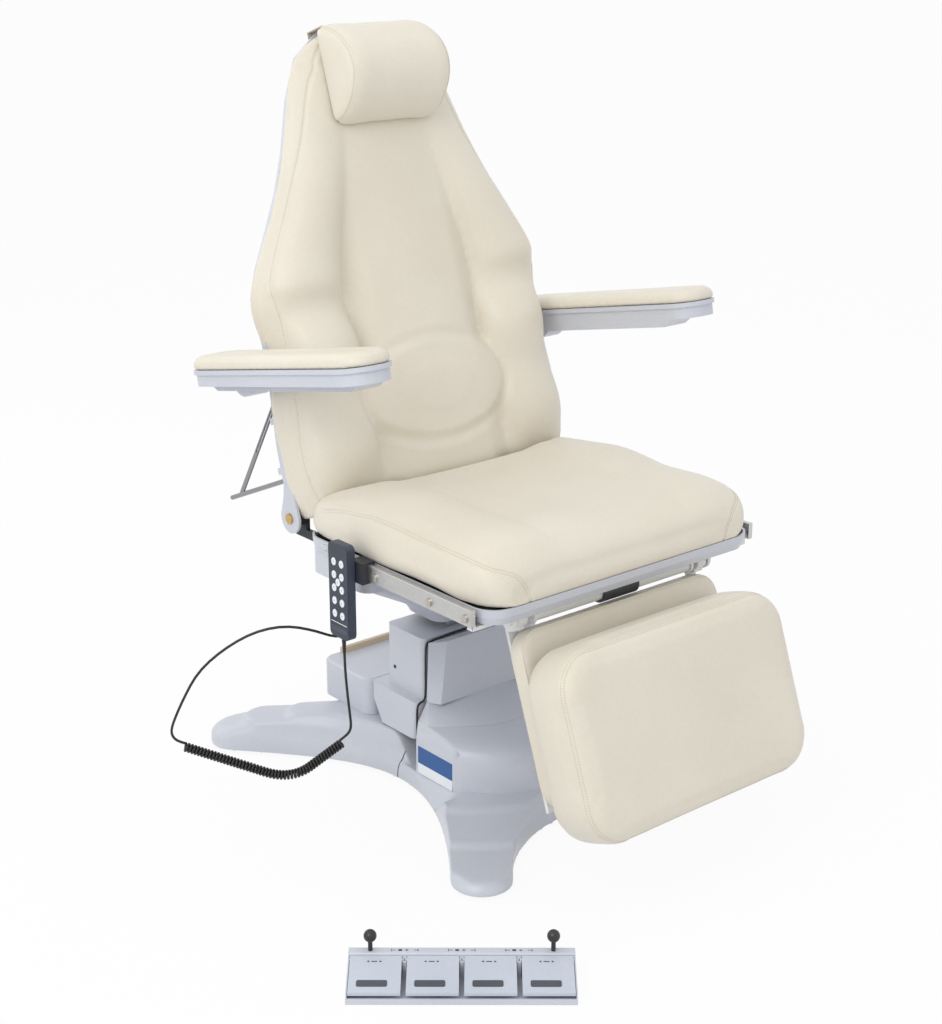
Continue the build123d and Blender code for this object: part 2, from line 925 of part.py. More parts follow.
tube_x = frame_half - tube_width / 2
with BuildPart() as seat_frame:
    for sx in (-1, 1):
        tube_plane = Plane(
            origin=(sx * tube_x, frame_front, tube_mid_z), x_dir=(1, 0, 0), z_dir=(0, 1, 0)
        )
        with BuildSketch(tube_plane):
            Rectangle(tube_width, tube_height)
            Rectangle(tube_width - 2 * tube_wall, tube_height - 2 * tube_wall, mode=Mode.SUBTRACT)
        extrude(amount=frame_rear - frame_front)
    cross_half = frame_half - tube_width
    for y in (frame_front + tube_width / 2, middle_tube_y, frame_rear - tube_width / 2):
        with BuildSketch(Plane(origin=(-cross_half, y, tube_mid_z), x_dir=(0, 1, 0), z_dir=(1, 0, 0))):
            Rectangle(tube_width, tube_height)
            Rectangle(tube_width - 2 * tube_wall, tube_height - 2 * tube_wall, mode=Mode.SUBTRACT)
        extrude(amount=2 * cross_half)
    with BuildSketch(Plane.XY.offset(frame_z + tube_height - deck_thickness)):
        with Locations((0, (frame_front + frame_rear) / 2)):
            Rectangle(2 * frame_half, frame_rear - frame_front)
    extrude(amount=deck_thickness)
    for sx in (-1, 1):
        for x in (ear_outer, ear_inner):
            with BuildSketch(side_plane(sx * x)):
                with Locations((leg_hinge_y, leg_hinge_z)):
                    Circle(leg_lug_radius)
                with Locations((leg_hinge_y, (leg_hinge_z + frame_z) / 2)):
                    Rectangle(2 * leg_lug_radius, frame_z - leg_hinge_z + tube_wall)
            extrude(amount=-sx * ear_thickness)
        outrigger_y = leg_hinge_y - leg_lug_radius + outrigger_depth / 2
        reach_out = rail_outer - rail_thickness - soft_gap
        reach_in = ear_outer - ear_thickness
        with Locations((sx * (reach_in + reach_out) / 2, outrigger_y, tray_bottom - edge_break)):
            Box(
                reach_out - reach_in,
                outrigger_depth,
                outrigger_height,
                align=(Align.CENTER, Align.CENTER, Align.MAX),
            )
        with Locations((sx * reach_out, outrigger_y, tray_bottom - edge_break - outrigger_height)):
            Box(
                reach_out - tray_half - soft_gap,
                outrigger_depth,
                rail_bottom + rail_height / 2 - tray_bottom + outrigger_height,
                align=(Align.MAX if sx > 0 else Align.MIN, Align.CENTER, Align.MIN),
            )
        with BuildSketch(side_plane(sx * seat_tilt_inner)):
            with Locations((tilt_y, tilt_z)):
                Circle(tilt_lug_radius)
            with Locations((tilt_y, (tilt_z + frame_z) / 2)):
                Rectangle(2 * tilt_lug_radius, frame_z - tilt_z + tube_wall)
        extrude(amount=sx * tilt_lug_thickness)
        with Locations((sx * seat_tilt_inner, (tilt_y - tilt_lug_radius + frame_rear) / 2, frame_z)):
            Box(
                tilt_lug_thickness,
                frame_rear - tilt_y + tilt_lug_radius,
                tube_height / 2,
                align=(Align.MIN if sx > 0 else Align.MAX, Align.CENTER, Align.MIN),
            )
        with BuildSketch(side_plane(sx * seat_lug_outer)):
            with Locations((pivot_y, pivot_z)):
                Circle(pivot_lug_radius)
            with Locations((pivot_y, (pivot_z + frame_z) / 2)):
                Rectangle(2 * pivot_lug_radius, pivot_z - frame_z)
            with Locations(((frame_rear - tube_width + pivot_y) / 2, tube_mid_z - edge_break)):
                Rectangle(pivot_y - frame_rear + tube_width, tube_height - 2 * edge_break)
        extrude(amount=-sx * seat_lug_thickness)
    for sx in (-1, 1):
        disc(sx * (ear_inner - 2 * ear_thickness), sx * (ear_outer + overrun), leg_hinge_y, leg_hinge_z,
             leg_pin_radius, Mode.SUBTRACT)
        disc(sx * (seat_tilt_inner - overrun), sx * (seat_tilt_outer + overrun), tilt_y, tilt_z,
             tilt_pin_radius + pin_gap, Mode.SUBTRACT)
        disc(sx * (seat_lug_outer - seat_lug_thickness - overrun), sx * (seat_lug_outer + edge_break),
             pivot_y, pivot_z, pivot_pin_radius + pin_gap, Mode.SUBTRACT)
        for y in rail_bolt_ys:
            disc(sx * (frame_half - tube_wall - overrun), sx * rail_outer, y, tube_mid_z,
                 rail_bolt_radius + pin_gap, Mode.SUBTRACT)
write_node(seat_frame.part, "seat_frame")

# Seat tray: pan with a deeper well at the rear and the flare round the column
tray_levels = (
    (tray_bottom, tray_tuck),
    ((tray_bottom + tray_top) / 2, tray_tuck * tray_rear_tuck_share),
    (tray_top, 0.0),
)


def tray_faces(inset, raise_by):
    """Outlines of the pan, drawn in towards its floor."""
    return [
        rounded_face(
            Plane.XY.offset(z + raise_by),
            tray_half - tuck - inset,
            tray_front + tuck + inset,
            tray_rear - tuck * tray_rear_tuck_share - inset,
            tray_corner - tuck - inset,
        )
        for z, tuck in tray_levels
    ]


def flare_faces(inset):
    """Outlines of the flare from its rim up to the well."""
    faces = []
    for height_share, width_share, front_share, rear_share in flare_level_shares:
        faces.append(
            rounded_face(
                Plane.XY.offset(mix(flare_bottom, well_bottom, height_share)),
                mix(flare_rim_half, flare_top_half, width_share) - inset,
                mix(flare_rim_front, flare_top_front, front_share) + inset,
                mix(flare_rim_rear, flare_top_rear, rear_share) - inset,
                flare_corner - inset,
            )
        )
    return faces


with BuildPart() as seat_tray:
    pan = tray_faces(0.0, 0.0)
    loft(sections=pan[:2], ruled=True)
    loft(sections=pan[1:], ruled=True)
    well = rounded_face(
        Plane.XY.offset(well_bottom), well_half, well_front, well_rear, well_corner
    )
    extrude(well, amount=tray_bottom - well_bottom + skin)
    loft(sections=flare_faces(0.0))
    hollow = tray_faces(skin, skin)
    loft(sections=hollow[:2], ruled=True, mode=Mode.SUBTRACT)
    loft(sections=hollow[1:], ruled=True, mode=Mode.SUBTRACT)
    well_hollow = rounded_face(
        Plane.XY.offset(well_bottom + skin),
        well_half - skin,
        well_front + skin,
        well_rear - skin,
        well_corner - skin,
    )
    extrude(well_hollow, amount=tray_bottom - well_bottom + skin, mode=Mode.SUBTRACT)
    loft(sections=flare_faces(skin), mode=Mode.SUBTRACT)
    throat = rounded_face(
        Plane.XY.offset(well_bottom - skin),
        seat_tilt_outer + skin,
        tilt_y - tilt_lug_radius - skin,
        tilt_y + tilt_lug_radius + skin,
        edge_break,
    )
    extrude(throat, amount=3 * skin, mode=Mode.SUBTRACT)
    for sx in (-1, 1):
        slot_half = (ear_outer - ear_inner) / 2 + ear_thickness
        with Locations((sx * (ear_outer + ear_inner) / 2, leg_hinge_y, tray_bottom)):
            Box(
                2 * slot_half,
                2 * (leg_lug_radius + running_gap),
                3 * skin,
                mode=Mode.SUBTRACT,
            )
        with Locations((sx * (seat_lug_outer - seat_lug_thickness / 2), well_rear, tube_mid_z)):
            Box(
                seat_lug_thickness + 2 * running_gap,
                8 * skin,
                tray_top - tray_bottom + 4 * skin,
                mode=Mode.SUBTRACT,
            )
        for y in rail_bolt_ys:
            disc(sx * (tray_half - tray_tuck - skin), sx * (tray_half + overrun), y, tube_mid_z,
                 rail_bolt_radius + pin_gap, Mode.SUBTRACT)
    with Locations((cord_socket_x, cord_socket_y, well_bottom)):
        Cylinder(gland_radius + pin_gap, 4 * skin, mode=Mode.SUBTRACT)
write_node(seat_tray.part, "seat_tray")


# Seat cushion, lofted from front to rear
def seat_face(y, half, bolster, hollow, bottom_half):
    """Cushion section: flat below, drawn-in sides, bolsters and a shallow middle."""
    plane = Plane(origin=(0, y, tray_top + soft_gap), x_dir=(1, 0, 0), z_dir=(0, -1, 0))
    shoulder = (half * seat_shoulder_width_share, bolster * seat_shoulder_height_share)
    groove = (half * seat_groove_share, mix(hollow, bolster, groove_fill_share))
    with BuildSketch(plane) as section:
        with BuildLine():
            Line((-bottom_half, 0), (bottom_half, 0))
            for sx in (1, -1):
                ThreePointArc(
                    (sx * bottom_half, 0),
                    (sx * half, bolster * seat_side_share),
                    (sx * shoulder[0], shoulder[1]),
                )
                ThreePointArc(
                    (sx * shoulder[0], shoulder[1]),
                    (sx * half * seat_bolster_share, bolster),
                    (sx * groove[0], groove[1]),
                )
            Spline(groove, (0, hollow), (-groove[0], groove[1]))
        make_face()
    return section.sketch


with BuildPart() as seat_cushion:
    seat_faces = [
        seat_face(
            mix(cushion_front, cushion_rear, place),
            cushion_half * width,
            cushion_height * bolster,
            cushion_height * hollow,
            cushion_half * width * bottom,
        )
        for place, width, bolster, hollow, bottom in seat_station_shares
    ]
    loft(sections=seat_faces)
write_node(seat_cushion.part, "seat_cushion")

# Side rails with their bolts and spacers
rail_inner = rail_outer - rail_thickness
for sx, side in ((-1, "right"), (1, "left")):
    with BuildPart() as side_rail:
        with Locations((sx * (rail_outer + rail_inner) / 2, (rail_front + rail_rear) / 2, rail_bottom)):
            Box(
                rail_thickness,
                rail_rear - rail_front,
                rail_height,
                align=(Align.CENTER, Align.CENTER, Align.MIN),
            )
        chamfer(side_rail.edges().filter_by(Axis.Y), length=edge_break / 2)
        for y in rail_bolt_ys:
            disc(sx * (rail_inner - overrun), sx * (rail_outer + overrun), y, tube_mid_z,
                 rail_bolt_radius + pin_gap, Mode.SUBTRACT)
    write_node(side_rail.part, f"side_rail_{side}")

fasteners = []
for sx in (-1, 1):
    for y in rail_bolt_ys:
        with BuildPart() as fastener:
            disc(sx * (frame_half - 2 * tube_wall), sx * rail_outer, y, tube_mid_z, rail_bolt_radius)
            disc(sx * rail_outer, sx * (rail_outer + rail_head_height), y, tube_mid_z, rail_head_radius)
            if y != rail_bolt_ys[0]:
                disc(sx * (tray_half + soft_gap), sx * (rail_inner - soft_gap), y, tube_mid_z,
                     rail_spacer_radius)
        fasteners.append(fastener.part.solid())
write_node(Compound(fasteners), "rail_fasteners")

# Control box in the well and the gland where the handset cord goes in
with BuildPart() as box_body:
    with Locations((-(box_inner_x + box_outer_x) / 2, (box_front + box_rear) / 2, well_bottom + skin)):
        Box(
            box_outer_x - box_inner_x,
            box_rear - box_front,
            box_height,
            align=(Align.CENTER, Align.CENTER, Align.MIN),
        )
    chamfer(box_body.edges().filter_by(Axis.Z), length=edge_break)
with BuildPart() as gland:
    with Locations((cord_socket_x, cord_socket_y, well_bottom - gland_drop)):
        Cylinder(
            gland_radius, gland_drop + 2 * skin, align=(Align.CENTER, Align.CENTER, Align.MIN)
        )
write_node(Compound([box_body.part.solid(), gland.part.solid()]), "control_box")

# Leg rest drive, its gearbox round the hinge tube and its motor behind
with BuildPart() as leg_actuator:
    drive_radius = tray_bottom - soft_gap - leg_hinge_z
    disc(leg_drive_x - leg_drive_half, leg_drive_x + leg_drive_half, leg_hinge_y, leg_hinge_z, drive_radius)
    with Locations((leg_drive_x, leg_hinge_y, leg_hinge_z)):
        Box(
            2 * leg_drive_half,
            leg_drive_depth,
            2 * drive_radius,
            align=(Align.CENTER, Align.MIN, Align.CENTER),
        )
    drive_plane = Plane(
        origin=(leg_drive_x, leg_hinge_y + leg_drive_depth, leg_hinge_z), x_dir=(1, 0, 0), z_dir=(0, 1, 0)
    )
    with BuildSketch(drive_plane):
        Circle(leg_motor_radius)
    extrude(amount=leg_motor_length)
    disc(leg_drive_x - leg_drive_half - overrun, leg_drive_x + leg_drive_half + overrun, leg_hinge_y,
         leg_hinge_z, hinge_tube_radius + running_gap, Mode.SUBTRACT)
write_node(leg_actuator.part, "leg_actuator")

# Leg rest plane: first direction X, second towards the hinge, normal out of the front
leg_sin = math.sin(math.radians(leg_angle))
leg_cos = math.cos(math.radians(leg_angle))


def leg_plane(n):
    """Plane of the leg rest, n in front of the hinge axis."""
    return Plane(
        origin=(0, leg_hinge_y - leg_cos * n, leg_hinge_z + leg_sin * n),
        x_dir=(1, 0, 0),
        z_dir=(0, -leg_cos, leg_sin),
    )


def padded(plane_at, half, low, high, corner, base, thickness, levels, reach):
    """Pad lofted through rounded outlines that draw in at both faces."""
    with BuildPart() as pad:
        faces = []
        for height_share, draw_share in levels:
            draw = reach * draw_share
            faces.append(
                rounded_face(
                    plane_at(base + thickness * height_share),
                    half - draw,
                    low + draw,
                    high - draw,
                    corner - draw,
                )
            )
        loft(sections=faces)
    return pad


calf_pad = padded(
    leg_plane, calf_half, -calf_bottom_t, -calf_top_t, calf_corner, calf_low_n, calf_thickness,
    pad_level_shares, calf_thickness,
)
write_node(calf_pad.part, "calf_pad")
foot_pad = padded(
    leg_plane, foot_half, -foot_bottom_t, -foot_top_t, foot_corner, foot_low_n, foot_thickness,
    pad_level_shares, foot_thickness / 2,
)
write_node(foot_pad.part, "foot_pad")

# Leg rest brackets: hinge tube, white lugs, bars behind the calf pad
bar_front_n = calf_low_n - soft_gap
bar_rear_n = bar_front_n - leg_bar_thickness
with BuildPart() as leg_brackets:
    tube_end = ear_inner - ear_thickness - running_gap
    disc(-tube_end, tube_end, leg_hinge_y, leg_hinge_z, hinge_tube_radius)
    lug_mid = leg_lug_outer - leg_lug_width / 2
    for sx in (-1, 1):
        disc(sx * (leg_lug_outer - leg_lug_width), sx * leg_lug_outer, leg_hinge_y, leg_hinge_z,
             leg_lug_radius - edge_break)
        disc(sx * (tube_end - edge_break), sx * (ear_outer + bolt_head_height), leg_hinge_y, leg_hinge_z,
             leg_pin_radius - pin_gap)
        disc(sx * (ear_outer + soft_gap), sx * (ear_outer + bolt_head_height), leg_hinge_y, leg_hinge_z,
             bolt_head_radius)
        with BuildSketch(leg_plane(bar_rear_n)):
            with Locations((sx * lug_mid, -calf_bottom_t / 2)):
                Rectangle(leg_lug_width, calf_bottom_t)
        extrude(amount=leg_bar_thickness)
        with BuildSketch(leg_plane(bar_rear_n)):
            with Locations((sx * lug_mid, -calf_top_t / 2)):
                Rectangle(leg_lug_width, calf_top_t - edge_break)
        extrude(amount=-bar_rear_n)
    with BuildSketch(leg_plane(bar_rear_n)):
        with Locations((0, -(leg_plate_top_t + leg_plate_bottom_t) / 2)):
            Rectangle(2 * lug_mid, leg_plate_bottom_t - leg_plate_top_t)
    extrude(amount=leg_bar_thickness)
write_node(leg_brackets.part, "legrest_brackets")

# Slides that carry the foot pad behind the calf pad
slide_front_n = bar_rear_n - soft_gap
with BuildPart() as slide_right:
    with BuildSketch(leg_plane(slide_front_n - slide_thickness)):
        with Locations((-slide_half, -(slide_top_t + slide_foot_t + slide_foot_height / 2) / 2)):
            Rectangle(slide_width, slide_foot_t + slide_foot_height / 2 - slide_top_t)
    extrude(amount=slide_thickness)
    with BuildSketch(leg_plane(slide_front_n - slide_thickness)):
        with Locations((-slide_half, -slide_foot_t)):
            Rectangle(slide_width, slide_foot_height)
    extrude(amount=foot_low_n - soft_gap - slide_front_n + slide_thickness)
slide_left = mirror(slide_right.part, about=Plane.YZ)
write_node(Compound([slide_right.part.solid(), slide_left.solid()]), "foot_slides")

# Backrest frame of reference: s up along the backrest, d behind its seam plane
back_sin = math.sin(math.radians(recline_angle))
back_cos = math.cos(math.radians(recline_angle))


def back_point(s, d):
    """Side view point (y, z) from a place on the backrest."""
    return (back_y + s * back_sin + d * back_cos, back_z + s * back_cos - d * back_sin)


def back_station(s):
    """Plane across the backrest: first direction X, second to the rear."""
    y, z = back_point(s, 0)
    return Plane(origin=(0, y, z), x_dir=(1, 0, 0), z_dir=(0, back_sin, back_cos))


def front_plane(n):
    """Plane parallel to the seam plane, n in front of it, second direction up the backrest."""
    y, z = back_point(0, -n)
    return Plane(origin=(0, y, z), x_dir=(1, 0, 0), z_dir=(0, -back_cos, back_sin))


def border_depth(s):
    """Depth of the cushion behind its seam plane."""
    return border_low - border_slope_share * s


def shell_depth(s):
    """Depth of the shell's rear face behind the seam plane."""
    return max(shell_low_depth - shell_slope_share * s, border_depth(s) + shell_least_depth)


# Backrest cushion, lofted from the seat up, with a lumbar bulge
def back_face(s, half, wing, groove, centre, border):
    """Cushion section: flat rear, wings at the sides, grooves and a middle panel."""
    wing_x = half * wing_place_share
    groove_x = half * groove_place_share
    rear_x = half * back_rear_width_share
    seam_x = half * back_seam_width_share
    with BuildSketch(back_station(s)) as section:
        with BuildLine():
            Line((-rear_x, border), (rear_x, border))
            for sx in (1, -1):
                ThreePointArc((sx * rear_x, border), (sx * half, border / 2), (sx * seam_x, 0))
                ThreePointArc((sx * seam_x, 0), (sx * wing_x, -wing), (sx * groove_x, -groove))
            Spline((groove_x, -groove), (0, -centre), (-groove_x, -groove))
        make_face()
    return section.sketch


with BuildPart() as back_cushion:
    back_faces = []
    for place, width, wing, groove, centre in back_station_shares:
        s = back_low + back_length * place
        back_faces.append(
            back_face(
                s,
                back_half * width,
                wing_rise * wing,
                wing_rise * groove,
                wing_rise * centre,
                border_depth(s),
            )
        )
    loft(sections=back_faces)
    lumbar_faces = []
    for height_share, size_share in lumbar_level_shares:
        with BuildSketch(front_plane(lumbar_rise * (1 + height_share) / 2)) as lumbar_section:
            with Locations((0, lumbar_s)):
                Ellipse(lumbar_half_x * size_share, lumbar_half_s * size_share)
        lumbar_faces.append(lumbar_section.sketch)
    loft(sections=lumbar_faces)
write_node(back_cushion.part, "back_cushion")


# Backrest shell behind the cushion with a lobe over each pivot
def shell_face(s, half, front, rear, rear_half):
    """Shell section, narrower at its rear face."""
    with BuildSketch(back_station(s)) as section:
        with BuildLine():
            Polyline(
                (-half, front),
                (half, front),
                (half, mix(front, rear, shell_break_share)),
                (rear_half, rear),
                (-rear_half, rear),
                (-half, mix(front, rear, shell_break_share)),
                close=True,
            )
        make_face()
    return section.sketch


def shell_faces(inset, front_lift):
    """Sections of the shell, first station at the cushion's lower edge."""
    faces = []
    stations = [(place, width) for place, width, *_ in back_station_shares if place >= 0]
    last = len(stations) - 1
    for index, (place, width) in enumerate(stations):
        s = back_low + back_length * place
        if index == last:
            s += shell_lip - inset
        if index == 0 and inset:
            s -= overrun
        half = back_half * width + shell_lip - inset
        rear_share = mix(shell_rear_share, shell_top_rear_share, place * place)
        faces.append(
            shell_face(
                s, half, border_depth(s) + soft_gap - front_lift, shell_depth(s) - inset, half * rear_share
            )
        )
    return faces


def along_back(x, s_from, d_from, s_to, d_to, radius, mode=Mode.ADD):
    """Round bar between two places on the backrest."""
    start = Vector(x, *back_point(s_from, d_from))
    end = Vector(x, *back_point(s_to, d_to))
    with BuildSketch(Plane(origin=start, x_dir=(1, 0, 0), z_dir=end - start)) as section:
        Circle(radius)
    extrude(section.sketch, amount=(end - start).length, mode=mode)


def roll_axis_depth(s):
    """Depth of the roll arm's pin behind the seam plane."""
    low = shell_depth(roll_lug_low_s) + roll_stand_off
    high = shell_depth(roll_lug_high_s) + roll_stand_off
    return mix(low, high, (s - roll_lug_low_s) / (roll_lug_high_s - roll_lug_low_s))


with BuildPart() as back_shell:
    loft(sections=shell_faces(0.0, 0.0), ruled=True)
    loft(sections=shell_faces(shell_wall, overrun), ruled=True, mode=Mode.SUBTRACT)
    for sx in (-1, 1):
        with BuildSketch(side_plane(sx * lobe_inner)):
            with Locations((pivot_y, pivot_z)):
                Circle(lobe_radius)
            with BuildLine():
                Polyline(
                    back_point(back_low, border_depth(back_low) + soft_gap),
                    back_point(lobe_top_s, border_depth(lobe_top_s) + soft_gap),
                    back_point(lobe_top_s, shell_depth(lobe_top_s) * lobe_depth_share),
                    back_point(back_low, shell_depth(back_low)),
                    (pivot_y + lobe_radius, pivot_z),
                    (pivot_y - lobe_radius, pivot_z),
                    close=True,
                )
            make_face()
        extrude(amount=sx * (lobe_outer - lobe_inner))
    for sx in (-1, 1):
        disc(sx * (lobe_inner - overrun), sx * (lobe_outer + overrun), pivot_y, pivot_z,
             pivot_pin_radius + pin_gap, Mode.SUBTRACT)
        arm_y, arm_z = back_point(arm_pivot_s, arm_pivot_d)
        disc(sx * (back_lug_inner + back_lug_thickness), sx * (back_half + 2 * overrun), arm_y, arm_z,
             arm_pin_radius + running_gap, Mode.SUBTRACT)
        for s in (roll_lug_low_s, roll_lug_high_s):
            lug_y, lug_z = back_point(s, shell_depth(s))
            lug_plane = Plane(
                origin=(sx * roll_x, lug_y, lug_z), x_dir=(1, 0, 0), z_dir=(0, back_sin, back_cos)
            )
            with BuildSketch(lug_plane):
                with Locations((0, roll_stand_off / 2)):
                    Rectangle(2 * roll_lug_half, roll_stand_off + roll_lug_half)
            extrude(amount=roll_lug_length)
        along_back(
            sx * roll_x,
            roll_arm_s,
            roll_axis_depth(roll_arm_s),
            roll_strut_s,
            roll_axis_depth(roll_strut_s),
            roll_rod_radius,
            Mode.SUBTRACT,
        )
write_node(back_shell.part, "back_shell")


# Back frame: two uprights with pivot lugs, a board between them and a spine up to the headrest
def frame_depth(s):
    """Depth of the back frame's front face."""
    return border_depth(s) + frame_stand


def side_strip(x_from, x_to, corners):
    """Extrude a side view outline, given as places on the backrest, from one X to another."""
    with BuildPart(mode=Mode.PRIVATE) as strip:
        with BuildSketch(side_plane(x_from)):
            with BuildLine():
                Polyline(*[back_point(s, d) for s, d in corners], close=True)
            make_face()
        extrude(amount=x_to - x_from)
    return strip.part


arm_y, arm_z = back_point(arm_pivot_s, arm_pivot_d)
back_lug_outer = back_lug_inner + back_lug_thickness
upright_corners = (
    (upright_low_s, frame_depth(upright_low_s)),
    (upright_top_s, frame_depth(upright_top_s)),
    (upright_top_s, frame_depth(upright_top_s) + upright_top_depth),
    (upright_low_s, frame_depth(upright_low_s) + upright_low_depth),
)
frame_strips = [side_strip(sx * back_lug_inner, sx * back_lug_outer, upright_corners) for sx in (-1, 1)]
frame_strips.append(
    side_strip(
        -back_lug_outer,
        back_lug_outer,
        (
            (backboard_low_s, frame_depth(backboard_low_s)),
            (backboard_top_s, frame_depth(backboard_top_s)),
            (backboard_top_s, frame_depth(backboard_top_s) + backboard_thickness),
            (backboard_low_s, frame_depth(backboard_low_s) + backboard_thickness),
        ),
    )
)
frame_strips.append(
    side_strip(
        -spine_half,
        spine_half,
        (
            (spine_low_s, frame_depth(spine_low_s)),
            (spine_top_s, frame_depth(spine_top_s)),
            (spine_top_s, frame_depth(spine_top_s) + spine_thickness),
            (spine_low_s, frame_depth(spine_low_s) + spine_thickness),
        ),
    )
)
with BuildPart() as back_frame:
    for strip in frame_strips:
        add(strip)
    for sx in (-1, 1):
        disc(sx * back_lug_inner, sx * back_lug_outer, pivot_y, pivot_z, pivot_lug_radius)
        disc(sx * back_lug_inner, sx * back_lug_outer, arm_y, arm_z, arm_lug_radius)
    for sx in (-1, 1):
        disc(sx * (back_lug_inner - overrun), sx * (back_lug_outer + overrun), pivot_y, pivot_z,
             pivot_pin_radius + pin_gap, Mode.SUBTRACT)
        disc(sx * (back_lug_inner - overrun), sx * (back_lug_outer + overrun), arm_y, arm_z,
             arm_pin_radius + pin_gap, Mode.SUBTRACT)
write_node(back_frame.part, "back_frame")

recline_pins = []
for sx in (-1, 1):
    with BuildPart() as recline_pin:
        disc(sx * (seat_lug_outer - seat_lug_thickness - edge_break), sx * (lobe_outer + soft_gap),
             pivot_y, pivot_z, pivot_pin_radius)
        disc(sx * (lobe_outer + soft_gap), sx * (lobe_outer + soft_gap + pivot_head_height),
             pivot_y, pivot_z, pivot_head_radius)
    recline_pins.append(recline_pin.part.solid())
write_node(Compound(recline_pins), "recline_pins")

# Headrest pillow, lofted from side to side, and its two straps over the top of the backrest
pillow_mid_s = (pillow_low_s + pillow_top_s) / 2


def pillow_face(x, size):
    """Pillow section: flat towards the backrest, domed to the front."""
    y, z = back_point(pillow_mid_s, -pillow_back_n)
    half = size * (pillow_top_s - pillow_low_s) / 2
    plane = Plane(origin=(x, y, z), x_dir=(0, back_sin, back_cos), z_dir=(1, 0, 0))
    profile = [(half * up, pillow_depth * size * out) for up, out in pillow_profile_shares]
    with BuildSketch(plane) as section:
        with BuildLine():
            Line((-half, 0), (half, 0))
            Spline((half, 0), *profile, (-half, 0))
        make_face()
    return section.sketch


with BuildPart() as headrest_pillow:
    loft(sections=[pillow_face(pillow_half * place, size) for place, size in pillow_station_shares])
write_node(headrest_pillow.part, "headrest_pillow")

strap_rear_d = shell_depth(strap_turn_s) + strap_rear_stand
strap_end_d = shell_depth(strap_end_s) + strap_rear_stand
strap_corners = (
    (strap_low_s, -strap_stand),
    (strap_turn_s, -strap_stand),
    (strap_turn_s, strap_rear_d),
    (strap_end_s, strap_end_d),
    (strap_end_s, strap_end_d + strap_thickness),
    (strap_turn_s + strap_thickness, strap_rear_d + strap_thickness),
    (strap_turn_s + strap_thickness, -strap_stand - strap_thickness),
    (strap_low_s, -strap_stand - strap_thickness),
)
straps = [
    side_strip(x - strap_width / 2, x + strap_width / 2, strap_corners).solid()
    for x in (-strap_x, strap_x)
]
write_node(Compound(straps), "headrest_strap")

# Armrests: lipped body with a keel and a boss on the pivot, and the pad in it
arm_rise = arm_front_z - arm_rear_z
arm_run = arm_rear_y - arm_front_y
arm_length = math.hypot(arm_rise, arm_run)
arm_sin = arm_rise / arm_length
arm_cos = arm_run / arm_length


def arm_plane(x, height):
    """Plane along an armrest: first direction X, second to the rear."""
    y = (arm_front_y + arm_rear_y) / 2 + height * arm_sin
    z = (arm_front_z + arm_rear_z) / 2 + height * arm_cos
    return Plane(origin=(x, y, z), x_dir=(1, 0, 0), z_dir=(0, arm_sin, arm_cos))


def arm_side_plane(x):
    """Side view plane of an armrest: first direction to the rear, second up."""
    y = (arm_front_y + arm_rear_y) / 2
    z = (arm_front_z + arm_rear_z) / 2
    return Plane(origin=(x, y, z), x_dir=(0, arm_cos, -arm_sin), z_dir=(1, 0, 0))


arm_half_length = arm_length / 2
arm_bottom = arm_lip_height + arm_body_depth
pivot_off_y = arm_y - (arm_front_y + arm_rear_y) / 2
pivot_off_z = arm_z - (arm_front_z + arm_rear_z) / 2
pivot_along = pivot_off_y * arm_cos - pivot_off_z * arm_sin
pivot_up = pivot_off_y * arm_sin + pivot_off_z * arm_cos
for sx, side in ((-1, "right"), (1, "left")):
    inner_x = sx * (arm_x - arm_half_width + arm_body_inset)
    with BuildPart() as armrest_body:
        with BuildSketch(arm_plane(sx * arm_x, -arm_bottom)):
            RectangleRounded(
                2 * (arm_half_width - arm_body_inset),
                2 * (arm_half_length - arm_body_inset),
                arm_corner - arm_body_inset,
            )
        extrude(amount=arm_body_depth)
        with BuildSketch(arm_plane(sx * arm_x, -arm_lip_height)):
            RectangleRounded(2 * arm_half_width, 2 * arm_half_length, arm_corner)
        extrude(amount=arm_lip_height)
        with BuildSketch(arm_side_plane(inner_x)):
            with BuildLine():
                Polyline(
                    (arm_keel_front - arm_half_length, -arm_bottom + edge_break),
                    (arm_keel_front + arm_keel_slope - arm_half_length, -arm_bottom - arm_keel_depth),
                    (arm_half_length - arm_keel_rear - arm_keel_slope, -arm_bottom - arm_keel_depth),
                    (arm_half_length - arm_keel_rear, -arm_bottom + edge_break),
                    close=True,
                )
            make_face()
        extrude(amount=sx * arm_keel_width)
        with BuildSketch(arm_side_plane(inner_x)):
            with Locations((pivot_along, pivot_up)):
                Circle(arm_boss_radius)
            with BuildLine():
                Polyline(
                    (pivot_along - 2 * arm_boss_radius, -arm_lip_height),
                    (pivot_along + 2 * arm_boss_radius, -arm_lip_height),
                    (pivot_along + 2 * arm_boss_radius, 3 * arm_boss_radius),
                    (pivot_along - 2 * arm_boss_radius, 3 * arm_boss_radius),
                    close=True,
                )
            make_face(mode=Mode.SUBTRACT)
        extrude(amount=sx * arm_boss_thickness)
        disc(sx * back_lug_inner, inner_x + sx * arm_boss_thickness / 2, arm_y, arm_z, arm_pin_radius)
    write_node(armrest_body.part, f"armrest_body_{side}")
    with BuildPart() as armrest_pad:
        pad_faces = []
        for height_share, draw_share in arm_pad_level_shares:
            draw = arm_half_width * draw_share
            with BuildSketch(arm_plane(sx * arm_x, soft_gap + arm_pad_height * height_share)) as pad_section:
                RectangleRounded(
                    2 * (arm_half_width - draw), 2 * (arm_half_length - draw), arm_corner - draw
                )
            pad_faces.append(pad_section.sketch)
        loft(sections=pad_faces)
    write_node(armrest_pad.part, f"armrest_pad_{side}")


